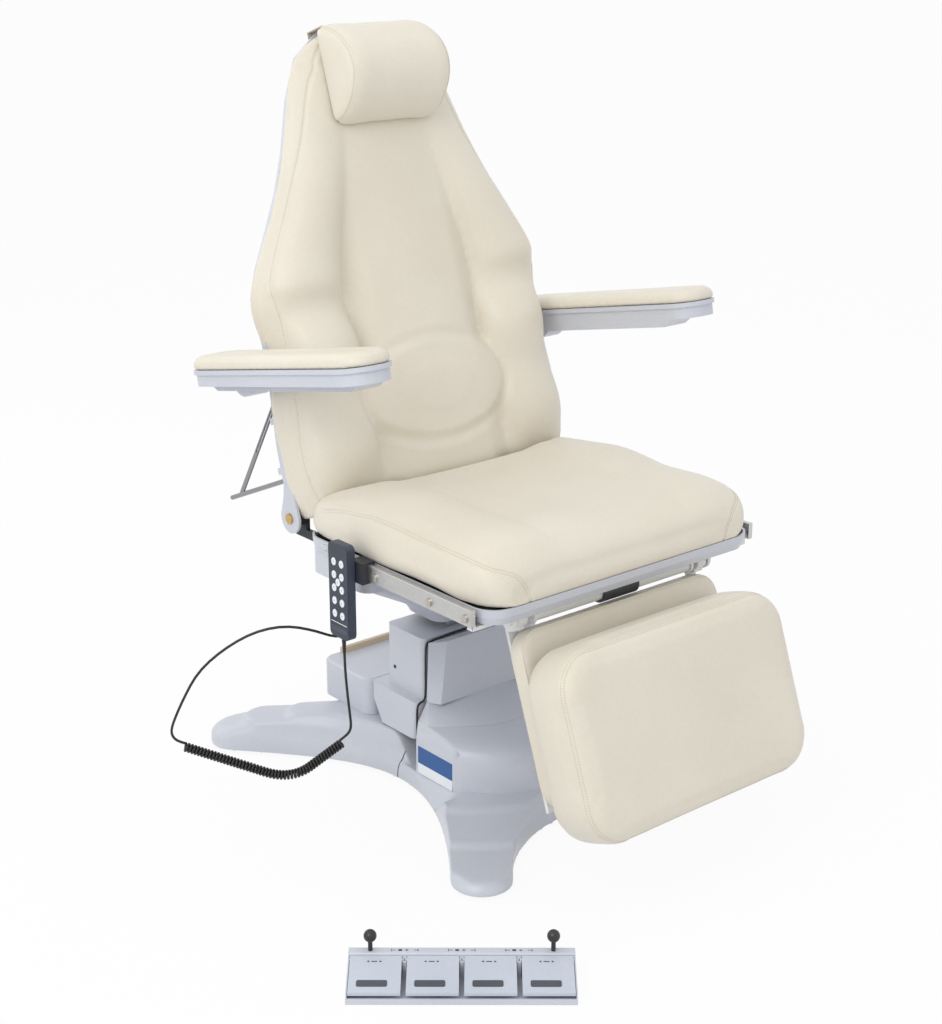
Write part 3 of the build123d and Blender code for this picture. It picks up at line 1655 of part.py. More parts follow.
# Paper roll arms: a pin along the shell, a rod to the rear and a slotted strut
foot_share = (roll_foot_d - roll_axis_depth(roll_arm_s)) / (roll_end_d - roll_axis_depth(roll_arm_s))
roll_foot_s = mix(roll_arm_s, roll_end_s, foot_share)
strut_low = back_point(roll_foot_s, roll_foot_d)
strut_high = back_point(roll_strut_s, roll_axis_depth(roll_strut_s))
strut_run = Vector(strut_high[0] - strut_low[0], strut_high[1] - strut_low[1])
strut_length = strut_run.length
strut_turn = math.degrees(math.atan2(strut_run.Y, strut_run.X))
for sx, side in ((-1, "right"), (1, "left")):
    with BuildPart() as roll_arm:
        along_back(
            sx * roll_x,
            roll_arm_s - roll_pin_spare,
            roll_axis_depth(roll_arm_s - roll_pin_spare),
            roll_strut_s + roll_pin_spare,
            roll_axis_depth(roll_strut_s + roll_pin_spare),
            roll_rod_radius - pin_gap,
        )
        along_back(
            sx * roll_x, roll_arm_s, roll_axis_depth(roll_arm_s), roll_end_s, roll_end_d, roll_rod_radius
        )
        with BuildSketch(side_plane(sx * roll_x - strut_thickness / 2)):
            with Locations(Location((*strut_low, 0), strut_turn)):
                with Locations((strut_length / 2, 0)):
                    SlotCenterToCenter(strut_length, strut_width)
                with Locations((strut_length * (1 - (slot_from_share + slot_to_share) / 2), 0)):
                    SlotCenterToCenter(
                        strut_length * (slot_to_share - slot_from_share), slot_width, mode=Mode.SUBTRACT
                    )
        extrude(amount=strut_thickness)
    write_node(roll_arm.part, f"roll_arm_{side}")

# Handset: case, face plate and buttons, seen from the right side of the chair
handset_rear_x = handset_face_x + handset_thickness
case_front_x = handset_face_x + face_thickness


def handset_plane(x):
    """Plane of the handset at one X: first direction Y, second Z, seen along +X."""
    return Plane(origin=(x, handset_y, handset_low + handset_height / 2), x_dir=(0, 1, 0), z_dir=(1, 0, 0))


button_columns = (-button_column_pitch / 2, button_column_pitch / 2)
handset_mid_z = handset_low + handset_height / 2
button_places = [
    (column, button_top_z - row * button_row_pitch - handset_mid_z)
    for row in range(button_rows)
    for column in button_columns
]
button_places.append((0.0, button_top_z - (button_rows - 2) / 2 * button_row_pitch - handset_mid_z))
board_x = handset_face_x - button_stand + button_depth + button_travel + (button_travel / 4)
with BuildPart() as handset_case:
    with BuildSketch(handset_plane(case_front_x)):
        RectangleRounded(handset_width, handset_height, handset_corner)
    extrude(amount=handset_rear_x - case_front_x)
    rear_edges = handset_case.edges().group_by(Axis.X)[-1]
    chamfer(rear_edges, length=edge_break)
    with BuildSketch(handset_plane(case_front_x)):
        RectangleRounded(
            handset_width - 2 * handset_wall, handset_height - 2 * handset_wall,
            handset_corner - handset_wall,
        )
    extrude(amount=handset_rear_x - case_front_x - case_rear_wall, mode=Mode.SUBTRACT)
    with BuildSketch(handset_plane(board_x)):
        RectangleRounded(
            handset_width - handset_wall, handset_height - handset_wall, handset_corner - handset_wall
        )
    extrude(amount=board_thickness)
write_node(handset_case.part, "handset_case")

with BuildPart() as handset_face:
    with BuildSketch(handset_plane(handset_face_x)):
        RectangleRounded(handset_width, handset_height, handset_corner)
        with Locations(button_places):
            Ellipse(button_half_y + button_gap, button_half_z + button_gap, mode=Mode.SUBTRACT)
    extrude(amount=face_thickness)
write_node(handset_face.part, "handset_face")

for index, place in enumerate(button_places):
    with BuildPart() as button:
        with BuildSketch(handset_plane(handset_face_x - button_stand)):
            with Locations(place):
                Ellipse(button_half_y, button_half_z)
        extrude(amount=button_depth)
        front_edge = button.edges().group_by(Axis.X)[0]
        chamfer(front_edge, length=button_gap)
    write_node(button.part, f"button_{index + 1}")

# Holder clamped round the right rail, with the handset on its outer face
with BuildPart() as handset_holder:
    with Locations(((handset_rear_x - rail_outer) / 2, (holder_front + holder_rear) / 2,
                    (holder_low + holder_top) / 2)):
        Box(
            -rail_outer - handset_rear_x - 2 * soft_gap,
            holder_rear - holder_front,
            holder_top - holder_low,
        )
    clamp_depth = holder_clamp_rear - holder_front
    with Locations((-rail_outer - soft_gap, (holder_front + holder_clamp_rear) / 2,
                    (holder_low + holder_top) / 2)):
        Box(
            rail_thickness + 2 * soft_gap + holder_hook,
            clamp_depth,
            holder_top - holder_low,
            align=(Align.MIN, Align.CENTER, Align.CENTER),
        )
        Box(
            rail_thickness + 2 * soft_gap,
            clamp_depth,
            rail_height + 2 * soft_gap,
            align=(Align.MIN, Align.CENTER, Align.CENTER),
            mode=Mode.SUBTRACT,
        )
        Box(
            rail_thickness + 2 * soft_gap + 2 * holder_hook,
            clamp_depth,
            holder_slot,
            align=(Align.MIN, Align.CENTER, Align.CENTER),
            mode=Mode.SUBTRACT,
        )
write_node(handset_holder.part, "handset_holder")


# Handset cord: straight lead, curls round a bent axis, and the tail to the gland
def bend_radii(points):
    """Radius of each bend, from the shorter run beside it and its turn."""
    radii = []
    for before, here, after in zip(points, points[1:], points[2:]):
        run_in = Vector(*here) - Vector(*before)
        run_out = Vector(*after) - Vector(*here)
        half_turn = math.radians(run_in.get_angle(run_out)) / 2
        radii.append(bend_share * min(run_in.length, run_out.length) / math.tan(half_turn))
    return radii


def cord_piece(points):
    """Tube with tangent bends through a list of points."""
    radii = bend_radii(points)
    with BuildPart() as tube:
        with BuildLine() as path:
            FilletPolyline(*points, radius=radii)
        start = Vector(*points[0])
        with BuildSketch(Plane(origin=start, z_dir=Vector(*points[1]) - start)):
            Circle(cord_diameter / 2)
        sweep()
    section_area = math.pi * (cord_diameter / 2) ** 2
    print("bend radii", [round(radius, 1) for radius in radii])
    print("volume share", round(tube.part.volume / (section_area * path.wires()[0].length), 4))
    return tube


cord_lead = cord_piece(cord_lead_points)
write_node(cord_lead.part, "cord_lead")
cord_tail = cord_piece(cord_tail_points)
write_node(cord_tail.part, "cord_tail")

axis_first = (Vector(*curl_axis_corner) - Vector(*curl_axis_start)).normalized()
axis_last = (Vector(*curl_axis_end) - Vector(*curl_axis_corner)).normalized()
axis_turn = math.radians(axis_first.get_angle(axis_last))
axis_side = axis_first.cross(axis_last).normalized()
axis_setback = curl_axis_radius * math.tan(axis_turn / 2)
axis_run_in = (Vector(*curl_axis_corner) - Vector(*curl_axis_start)).length - axis_setback
axis_run_out = (Vector(*curl_axis_end) - Vector(*curl_axis_corner)).length - axis_setback
axis_bend = curl_axis_radius * axis_turn
axis_length = axis_run_in + axis_bend + axis_run_out


def axis_frame(a):
    """Point, direction and inward normal of the curl axis, a along it."""
    if a <= axis_run_in:
        direction = axis_first
        point = Vector(*curl_axis_start) + axis_first * a
    elif a >= axis_run_in + axis_bend:
        direction = axis_last
        point = Vector(*curl_axis_end) - axis_last * (axis_length - a)
    else:
        turned = (a - axis_run_in) / curl_axis_radius
        inward = axis_side.cross(axis_first)
        direction = axis_first * math.cos(turned) + inward * math.sin(turned)
        bend_start = Vector(*curl_axis_start) + axis_first * axis_run_in
        point = (
            bend_start
            + axis_first * (curl_axis_radius * math.sin(turned))
            + inward * (curl_axis_radius * (1 - math.cos(turned)))
        )
    return point, direction, axis_side.cross(direction)


curl_radius = (curl_outer_diameter - cord_diameter) / 2
curl_run = axis_length - 2 * curl_end_advance
curl_turns = round(curl_run / curl_pitch - 1 / 2) + 1 / 2
curl_spans = round(curl_turns * curl_spans_per_turn)
quarter_turn = math.pi / 2


def curl_point(share):
    """Place and direction on the curls, share of the way from the first to the last."""
    a = curl_end_advance + curl_run * share
    phase = quarter_turn + 2 * math.pi * curl_turns * share
    point, direction, inward = axis_frame(a)
    spoke = inward * math.cos(phase) + axis_side * math.sin(phase)
    round_way = axis_side * math.cos(phase) - inward * math.sin(phase)
    bend_gain = 0.0
    if axis_run_in < a < axis_run_in + axis_bend:
        bend_gain = curl_radius * math.cos(phase) / curl_axis_radius
    forward = direction * (curl_run * (1 - bend_gain) / (2 * math.pi * curl_turns * curl_radius))
    return point + spoke * curl_radius, (round_way + forward).normalized()


def biarc(start, start_way, end, end_way):
    """Middle, joint and middle of two arcs that leave and arrive in given directions."""
    span = end - start
    both = start_way + end_way
    spread = 4 - both.dot(both)
    along = span.dot(both)
    reach = (math.sqrt(along * along + spread * span.dot(span)) - along) / spread
    control_in = start + start_way * reach
    control_out = end - end_way * reach
    joint = (control_in + control_out) / 2
    joint_way = (control_out - control_in).normalized()
    bends = []
    for near, control, far, way, next_way in (
        (start, control_in, joint, start_way, joint_way),
        (joint, control_out, end, joint_way, end_way),
    ):
        weight = math.cos(math.radians(way.get_angle(next_way)) / 2)
        bends.append((near + control * (2 * weight) + far) / (2 * (1 + weight)))
    return bends[0], joint, bends[1]


lead_end = Vector(*cord_lead_points[-1])
lead_way = (lead_end - Vector(*cord_lead_points[-2])).normalized()
tail_start = Vector(*cord_tail_points[0])
tail_way = (Vector(*cord_tail_points[1]) - tail_start).normalized()
curl_stops = [(lead_end + lead_way * cord_diameter, lead_way)]
curl_stops += [curl_point(index / curl_spans) for index in range(curl_spans + 1)]
curl_stops.append((tail_start - tail_way * cord_diameter, tail_way))
arc_tables = []
for (near, near_way), (far, far_way) in zip(curl_stops, curl_stops[1:]):
    middle_in, joint, middle_out = biarc(near, near_way, far, far_way)
    arc_tables += [(near, middle_in, joint), (joint, middle_out, far)]
with BuildPart() as cord_curls:
    with BuildLine() as curl_path:
        Line(lead_end, curl_stops[0][0])
        for near, middle, far in arc_tables:
            ThreePointArc(near, middle, far)
        Line(curl_stops[-1][0], tail_start)
    with BuildSketch(Plane(origin=lead_end, z_dir=lead_way)):
        Circle(cord_diameter / 2)
    sweep()
write_node(cord_curls.part, "cord_curls")

# Least gap of the cord to itself, from points on its middle line
trace = []
for edge in curl_path.edges():
    trace += [edge.position_at(step / trace_steps) for step in range(trace_steps)]
window = trace_steps * 2 * curl_spans_per_turn * trace_turns
apart = trace_steps * curl_spans_per_turn
least_gap = min(
    (trace[first] - trace[second]).length
    for first in range(len(trace))
    for second in range(first + apart, min(first + window, len(trace)))
) - cord_diameter
arc_radii = [edge.radius for edge in curl_path.edges().filter_by(GeomType.CIRCLE)]
print("curl turns", curl_turns, "least gap", round(least_gap, 2))
print("curl arc radii", round(min(arc_radii), 2), round(max(arc_radii), 2))

# Foot control: plane at its front edge, first direction along it, second to the rear
turn_cos = math.cos(math.radians(control_turn))
turn_sin = math.sin(math.radians(control_turn))


def control_side_plane(along):
    """Side view plane of the foot control: first direction to the rear, second up."""
    origin = (control_x + along * turn_cos, control_y + along * turn_sin, 0)
    return Plane(origin=origin, x_dir=(-turn_sin, turn_cos, 0), z_dir=(turn_cos, turn_sin, 0))


def control_slab(from_along, to_along, corners, mode=Mode.ADD):
    """Extrude a side view outline along the foot control."""
    with BuildSketch(control_side_plane(from_along)) as section:
        with BuildLine():
            Polyline(*corners, close=True)
        make_face()
    extrude(section.sketch, amount=to_along - from_along, mode=mode)


control_half = control_width / 2
strip_front = control_depth - control_strip
pedal_front = control_wall + edge_break
pedal_rear = strip_front - pedal_clearance
pedal_hinge_height = pedal_rear_height - pedal_thickness / 2
pedal_span = (control_width - 2 * control_wall - (pedal_count - 1) * pedal_gap) / pedal_count
pedal_starts = [
    control_wall - control_half + index * (pedal_span + pedal_gap) for index in range(pedal_count)
]
hinge_place = pedal_rear - pedal_thickness
cheek_corners = (
    (0, 0),
    (0, control_lip),
    (pedal_front, pedal_front_height - edge_break),
    (strip_front, pedal_rear_height - edge_break / 2),
    (strip_front + edge_break, 0),
)
rib_corners = (
    (hinge_place - 2 * pedal_thickness, 0),
    (hinge_place - pedal_thickness, pedal_rear_height - pedal_thickness),
    (strip_front, pedal_rear_height - edge_break),
    (strip_front + edge_break, 0),
)


def control_pin(from_along, to_along, radius, mode=Mode.ADD):
    """Round bar along the hinge line of the pedals."""
    with BuildSketch(control_side_plane(from_along)) as section:
        with Locations((hinge_place, pedal_hinge_height - edge_break)):
            Circle(radius)
    extrude(section.sketch, amount=to_along - from_along, mode=mode)


with BuildPart() as pedal_housing:
    control_slab(
        -control_half,
        control_half,
        (
            (0, 0),
            (0, control_lip),
            (control_wall, control_lip),
            (control_wall, control_floor),
            (strip_front, control_floor),
            (strip_front, control_height - edge_break),
            (strip_front + edge_break, control_height),
            (control_depth - edge_break, control_height),
            (control_depth, control_height - edge_break),
            (control_depth, 0),
        ),
    )
    for start in (-control_half, control_half - control_wall + pedal_clearance):
        control_slab(start, start + control_wall - pedal_clearance, cheek_corners)
    for start in pedal_starts[1:]:
        control_slab(start - pedal_gap + pedal_clearance, start - pedal_clearance, rib_corners)
    control_pin(-control_half - overrun, control_half + overrun, pedal_pin_radius + pin_gap, Mode.SUBTRACT)
write_node(pedal_housing.part, "pedal_housing")

for index, start in enumerate(pedal_starts):
    with BuildPart() as pedal:
        control_slab(
            start,
            start + pedal_span,
            (
                (pedal_front, pedal_front_height - pedal_thickness),
                (pedal_front, pedal_front_height),
                (pedal_rear, pedal_rear_height),
                (pedal_rear, pedal_rear_height - pedal_thickness),
                (hinge_place, pedal_hinge_height - 2 * pedal_pin_radius - edge_break),
                (hinge_place - 2 * pedal_thickness, pedal_rear_height - 2 * pedal_thickness),
            ),
        )
        control_pin(start - pedal_gap / 2 + pedal_clearance, start + pedal_span + pedal_gap / 2
                    - pedal_clearance, pedal_pin_radius)
    write_node(pedal.part, f"pedal_{index + 1}")

knobs = []
for along in (-knob_x, knob_x):
    middle = control_depth - control_strip / 2
    x = control_x + along * turn_cos - middle * turn_sin
    y = control_y + along * turn_sin + middle * turn_cos
    with BuildPart() as knob:
        with Locations((x, y, control_height)):
            Cylinder(
                knob_stem_radius, knob_stem_height, align=(Align.CENTER, Align.CENTER, Align.MIN)
            )
        with Locations((x, y, control_height + knob_stem_height + knob_radius - edge_break)):
            Sphere(knob_radius)
    knobs.append(knob.part.solid())
write_node(Compound(knobs), "pedal_knobs")
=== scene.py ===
"""Dresses a powered procedure chair: upholstery, finishes, handset cord, trim, light and camera."""

import json
import logging
import math
from dataclasses import dataclass, field
from enum import Enum
from typing import Any, Callable, Iterable, Sequence

import bmesh
import bpy
from mathutils import Matrix, Vector
from mathutils.bvhtree import BVHTree
from mathutils.kdtree import KDTree

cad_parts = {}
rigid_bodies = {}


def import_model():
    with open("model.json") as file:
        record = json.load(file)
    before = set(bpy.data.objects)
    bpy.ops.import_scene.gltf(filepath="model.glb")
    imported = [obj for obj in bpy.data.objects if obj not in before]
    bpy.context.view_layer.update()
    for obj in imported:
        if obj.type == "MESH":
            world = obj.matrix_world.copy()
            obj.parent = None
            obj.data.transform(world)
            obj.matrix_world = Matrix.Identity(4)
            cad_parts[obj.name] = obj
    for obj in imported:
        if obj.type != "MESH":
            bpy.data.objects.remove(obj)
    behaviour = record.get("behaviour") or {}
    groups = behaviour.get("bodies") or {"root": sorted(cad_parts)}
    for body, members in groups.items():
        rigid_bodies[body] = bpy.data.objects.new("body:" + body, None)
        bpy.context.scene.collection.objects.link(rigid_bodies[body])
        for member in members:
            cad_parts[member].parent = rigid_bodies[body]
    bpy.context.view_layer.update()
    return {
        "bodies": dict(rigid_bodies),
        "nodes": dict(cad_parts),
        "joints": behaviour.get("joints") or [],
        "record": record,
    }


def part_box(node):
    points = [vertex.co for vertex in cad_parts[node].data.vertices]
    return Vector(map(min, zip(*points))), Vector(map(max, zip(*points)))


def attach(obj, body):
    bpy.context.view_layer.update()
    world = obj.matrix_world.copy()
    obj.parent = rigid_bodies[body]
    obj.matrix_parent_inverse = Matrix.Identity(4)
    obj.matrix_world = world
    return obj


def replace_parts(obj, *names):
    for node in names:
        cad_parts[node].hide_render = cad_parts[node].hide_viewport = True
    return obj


log = logging.getLogger("procedure_chair")

MM = 0.001
EAR_REAR = -200 * MM
EAR_TOP = 472 * MM
Colour = tuple[float, float, float]


def srgb(red: float, green: float, blue: float) -> Colour:
    """Turns a colour in screen values from 0 to 255 into linear values.

    Args:
        red: Red value.
        green: Green value.
        blue: Blue value.

    Returns:
        The three linear values.
    """
    shares = (red / 255, green / 255, blue / 255)
    return tuple(v / 12.92 if v <= 0.04045 else ((v + 0.055) / 1.055) ** 2.4 for v in shares)


# ---------------------------------------------------------------- finishes


class Pattern(Enum):
    """The small structure that a finish shows up close."""

    GRAIN = "pebbled vinyl"
    MOULDED = "fine moulded texture"
    BRUSHED = "brushed along its length"
    POLISHED = "polished metal"
    COATED = "powder coat"
    WOVEN = "woven band"
    RUBBER = "smooth rubber"
    CORK = "short fibres along one way"
    PRINTED = "flat printed film"


@dataclass(frozen=True)
class Finish:
    """One surface finish and the material that shows it."""

    name: str
    slot: str
    colour: Colour
    tint: Colour
    pattern: Pattern
    roughness: float
    spread: float = 0.06
    metallic: float = 0.0
    coat: float = 0.0
    sheen: float = 0.0
    scale: float = 1.0
    relief: float = 1.0

    def material(self) -> bpy.types.Material:
        """Returns the finish's material, made once."""
        made = bpy.data.materials.get(self.name)
        return made if made is not None else self._make()

    def _make(self) -> bpy.types.Material:
        """Wires the nodes of the finish.

        Returns:
            The new material.
        """
        material = bpy.data.materials.new(self.name)
        material.use_nodes = True
        tree = material.node_tree
        shader = tree.nodes["Principled BSDF"]
        shader.inputs["Metallic"].default_value = self.metallic
        shader.inputs["Coat Weight"].default_value = self.coat
        shader.inputs["Coat Roughness"].default_value = 0.25
        shader.inputs["Sheen Weight"].default_value = self.sheen
        shader.inputs["Sheen Roughness"].default_value = 0.5
        coordinates = tree.nodes.new("ShaderNodeTexCoord").outputs["Object"]
        drift = self._noise(tree, coordinates, 5.0 * self.scale, 3.0)
        fleck = self._noise(tree, coordinates, 160.0 * self.scale, 4.0)
        mottle = tree.nodes.new("ShaderNodeMix")
        mottle.data_type = "FLOAT"
        mottle.inputs[0].default_value = 0.3
        tree.links.new(drift, mottle.inputs[2])
        tree.links.new(fleck, mottle.inputs[3])
        paint = tree.nodes.new("ShaderNodeMix")
        paint.data_type = "RGBA"
        paint.inputs[6].default_value = (*self.colour, 1.0)
        paint.inputs[7].default_value = (*self.tint, 1.0)
        tree.links.new(self._ranged(tree, mottle.outputs[0], 0.35, 0.65, 0.0, 1.0), paint.inputs[0])
        tree.links.new(paint.outputs[2], shader.inputs["Base Color"])
        gloss = self._ranged(
            tree, fleck, 0.3, 0.7, self.roughness - self.spread, self.roughness + self.spread
        )
        tree.links.new(gloss, shader.inputs["Roughness"])
        height, depth = self._height(tree, coordinates)
        bump = tree.nodes.new("ShaderNodeBump")
        bump.inputs["Strength"].default_value = min(1.0, 0.5 * self.relief)
        bump.inputs["Distance"].default_value = depth
        tree.links.new(height, bump.inputs["Height"])
        tree.links.new(bump.outputs["Normal"], shader.inputs["Normal"])
        material.diffuse_color = (*self.colour, 1.0)
        return material

    @staticmethod
    def _noise(
        tree: bpy.types.NodeTree, vector: bpy.types.NodeSocket, scale: float, detail: float
    ) -> bpy.types.NodeSocket:
        """Adds a noise texture and returns its value."""
        noise = tree.nodes.new("ShaderNodeTexNoise")
        noise.inputs["Scale"].default_value = scale
        noise.inputs["Detail"].default_value = detail
        tree.links.new(vector, noise.inputs["Vector"])
        return noise.outputs["Fac"]

    @staticmethod
    def _ranged(
        tree: bpy.types.NodeTree,
        value: bpy.types.NodeSocket,
        low: float,
        high: float,
        to_low: float,
        to_high: float,
    ) -> bpy.types.NodeSocket:
        """Maps a value from one range to another.

        Args:
            tree: The material's nodes.
            value: The value to map.
            low: Lower end of its range.
            high: Upper end of its range.
            to_low: What the lower end becomes.
            to_high: What the upper end becomes.

        Returns:
            The mapped value.
        """
        ranged = tree.nodes.new("ShaderNodeMapRange")
        for place, number in zip((1, 2, 3, 4), (low, high, to_low, to_high)):
            ranged.inputs[place].default_value = number
        tree.links.new(value, ranged.inputs[0])
        return ranged.outputs[0]

    def _stretched(
        self, tree: bpy.types.NodeTree, vector: bpy.types.NodeSocket, stretch: Sequence[float]
    ) -> bpy.types.NodeSocket:
        """Returns the coordinates scaled differently along each axis."""
        mapping = tree.nodes.new("ShaderNodeMapping")
        mapping.inputs["Scale"].default_value = tuple(stretch)
        tree.links.new(vector, mapping.inputs["Vector"])
        return mapping.outputs["Vector"]

    def _height(
        self, tree: bpy.types.NodeTree, vector: bpy.types.NodeSocket
    ) -> tuple[bpy.types.NodeSocket, float]:
        """Makes the relief of the finish.

        Args:
            tree: The material's nodes.
            vector: The object's coordinates.

        Returns:
            The height from 0 to 1 and the depth that it stands for, in metres.
        """
        if self.pattern is Pattern.GRAIN:
            cells = tree.nodes.new("ShaderNodeTexVoronoi")
            cells.feature = "DISTANCE_TO_EDGE"
            cells.inputs["Scale"].default_value = 620.0 * self.scale
            tree.links.new(vector, cells.inputs["Vector"])
            pebbles = self._ranged(tree, cells.outputs["Distance"], 0.0, 0.28, 0.0, 1.0)
            waves = self._noise(tree, vector, 14.0, 2.0)
            return self._sum(tree, pebbles, waves, 0.78), 0.00022
        if self.pattern is Pattern.BRUSHED:
            long = self._stretched(tree, vector, (900.0, 9.0, 900.0))
            return self._noise(tree, long, 1.0, 2.0), 0.00003
        if self.pattern is Pattern.CORK:
            long = self._stretched(tree, vector, (40.0, 700.0, 700.0))
            return self._noise(tree, long, 1.0, 3.0), 0.0002
        if self.pattern is Pattern.WOVEN:
            warp = self._bands(tree, vector, "X", 420.0)
            weft = self._bands(tree, vector, "Z", 300.0)
            return self._sum(tree, warp, weft, 0.5), 0.0004
        if self.pattern is Pattern.MOULDED:
            peel = self._noise(tree, vector, 420.0, 3.0)
            waves = self._noise(tree, vector, 16.0, 1.0)
            return self._sum(tree, peel, waves, 0.6), 0.00008
        if self.pattern is Pattern.COATED:
            return self._noise(tree, vector, 900.0, 2.0), 0.00006
        if self.pattern is Pattern.PRINTED:
            return self._noise(tree, vector, 90.0, 1.0), 0.000004
        return self._noise(tree, vector, 240.0, 2.0), 0.00002

    @staticmethod
    def _sum(
        tree: bpy.types.NodeTree,
        first: bpy.types.NodeSocket,
        second: bpy.types.NodeSocket,
        share: float,
    ) -> bpy.types.NodeSocket:
        """Adds two heights, the first with its share and the second with the rest."""
        mix = tree.nodes.new("ShaderNodeMix")
        mix.data_type = "FLOAT"
        mix.inputs[0].default_value = 1.0 - share
        tree.links.new(first, mix.inputs[2])
        tree.links.new(second, mix.inputs[3])
        return mix.outputs[0]

    @staticmethod
    def _bands(
        tree: bpy.types.NodeTree, vector: bpy.types.NodeSocket, axis: str, scale: float
    ) -> bpy.types.NodeSocket:
        """Adds even bands across one axis and returns their value."""
        wave = tree.nodes.new("ShaderNodeTexWave")
        wave.bands_direction = axis
        wave.inputs["Scale"].default_value = scale
        tree.links.new(vector, wave.inputs["Vector"])
        return wave.outputs["Fac"]


CREAM = srgb(228, 221, 206)
VINYL = Finish(
    "cream_vinyl", "upholstery", CREAM, srgb(222, 214, 197), Pattern.GRAIN, 0.46, 0.05,
    coat=0.06, sheen=0.12,
)
THREAD = Finish(
    "cream_thread", "upholstery", srgb(206, 192, 166), srgb(196, 181, 154), Pattern.WOVEN, 0.7
)
COVER = Finish(
    "grey_moulding", "cover_plastic", srgb(203, 206, 214), srgb(197, 200, 209),
    Pattern.MOULDED, 0.36, 0.05, coat=0.12,
)
BLACK_FRAME = Finish(
    "black_powder_coat", "frame_steel", srgb(34, 36, 40), srgb(44, 46, 51), Pattern.COATED, 0.5
)
WHITE_BRACKET = Finish(
    "white_powder_coat", "bracket_white", srgb(236, 236, 234), srgb(226, 226, 224),
    Pattern.COATED, 0.38,
)
COLUMN = Finish(
    "drawn_column", "column_metal", srgb(186, 190, 196), srgb(170, 174, 182), Pattern.BRUSHED,
    0.34, metallic=1.0,
)
RAIL = Finish(
    "brushed_rail", "rail_steel", srgb(204, 204, 203), srgb(198, 198, 197), Pattern.MOULDED,
    0.36, 0.08, metallic=1.0,
)
BRIGHT = Finish(
    "bright_fastener", "bolt_steel", srgb(214, 210, 204), srgb(182, 174, 166), Pattern.POLISHED,
    0.24, metallic=1.0,
)
BRASS = Finish(
    "turned_brass", "pivot_brass", srgb(214, 184, 120), srgb(188, 154, 92), Pattern.POLISHED,
    0.26, metallic=1.0,
)
# Chrome of the roll arm, its colour darkened to paint the dark reflections that it shows
ROD_PAINTED_DARK_REFLECTION = Finish(
    "dark_chrome", "dark_chrome", srgb(96, 96, 98), srgb(70, 70, 74), Pattern.POLISHED,
    0.14, 0.04, metallic=1.0,
)
KNOB = Finish(
    "black_ball", "knob_black", srgb(40, 40, 42), srgb(50, 50, 52), Pattern.RUBBER, 0.32,
)
DRIVE = Finish(
    "black_housing", "drive_case", srgb(42, 44, 50), srgb(50, 52, 58), Pattern.MOULDED, 0.45
)
RUBBER = Finish(
    "black_rubber", "foot_rubber", srgb(30, 30, 31), srgb(40, 40, 41), Pattern.RUBBER, 0.62
)
STRIP = Finish(
    "tan_strip", "tan_strip", srgb(206, 172, 122), srgb(184, 148, 98), Pattern.CORK, 0.6
)
WEBBING = Finish(
    "cream_webbing", "webbing", srgb(218, 210, 194), srgb(200, 191, 174), Pattern.WOVEN, 0.8,
    sheen=0.2,
)
HANDSET = Finish(
    "slate_housing", "handset_grey", srgb(64, 72, 88), srgb(56, 64, 80), Pattern.MOULDED, 0.42
)
HANDSET_FACE = Finish(
    "slate_film", "handset_blue", srgb(38, 46, 62), srgb(44, 52, 68), Pattern.PRINTED, 0.34
)
KEY = Finish(
    "white_key", "button_white", srgb(238, 242, 244), srgb(228, 234, 238), Pattern.PRINTED, 0.35
)
KEY_MARK = Finish(
    "pale_blue_mark", "button_white", srgb(176, 202, 216), srgb(168, 196, 212), Pattern.PRINTED, 0.4
)
CORD = Finish(
    "black_cord", "cord_cover", srgb(18, 18, 20), srgb(25, 25, 27), Pattern.RUBBER, 0.42
)
CONTROL = Finish(
    "pale_control_case", "control_grey", srgb(206, 210, 219), srgb(198, 202, 212),
    Pattern.MOULDED, 0.4,
)
PEDAL = Finish(
    "pale_pedal", "pedal_face", srgb(198, 205, 216), srgb(190, 197, 209), Pattern.MOULDED, 0.42
)
WINDOW = Finish(
    "dark_window", "knob_black", srgb(78, 80, 88), srgb(70, 72, 80), Pattern.PRINTED, 0.35
)
INK = Finish("black_ink", "knob_black", srgb(38, 40, 46), srgb(52, 54, 60), Pattern.PRINTED, 0.5)
PLATE_BLUE = Finish(
    "blue_film", "handset_blue", srgb(24, 84, 150), srgb(24, 82, 147), Pattern.PRINTED, 0.35,
    0.02
)
PLATE_WHITE = Finish(
    "white_film", "button_white", srgb(236, 239, 242), srgb(234, 237, 240), Pattern.PRINTED, 0.35,
    0.02
)

NODE_FINISHES: dict[str, Finish] = {
    "base_cover": COVER, "tower_cover": COVER, "mid_cover": COVER, "rear_housing": COVER,
    "seat_tray": COVER, "back_shell": COVER, "armrest_body": COVER,
    "base_frame": BLACK_FRAME, "seat_frame": BLACK_FRAME, "back_frame": BLACK_FRAME,
    "foot_slides": BLACK_FRAME, "tilt_yoke": BLACK_FRAME, "legrest_brackets": WHITE_BRACKET,
    "outer_column": COLUMN, "middle_column": COLUMN, "inner_column": COLUMN,
    "side_rail": RAIL, "rail_fasteners": BRIGHT, "recline_pins": BRASS, "roll_arm": ROD_PAINTED_DARK_REFLECTION,
    "pedal_knobs": KNOB, "lift_actuator": DRIVE, "leg_actuator": DRIVE, "control_box": DRIVE,
    "handset_holder": DRIVE, "mains_inlet": DRIVE, "levelling_feet": RUBBER,
    "rear_strip": STRIP, "handset_case": HANDSET, "handset_face": HANDSET_FACE,
    "button_": KEY, "pedal_housing": CONTROL, "pedal_": PEDAL,
}


# ---------------------------------------------------------------- shared making


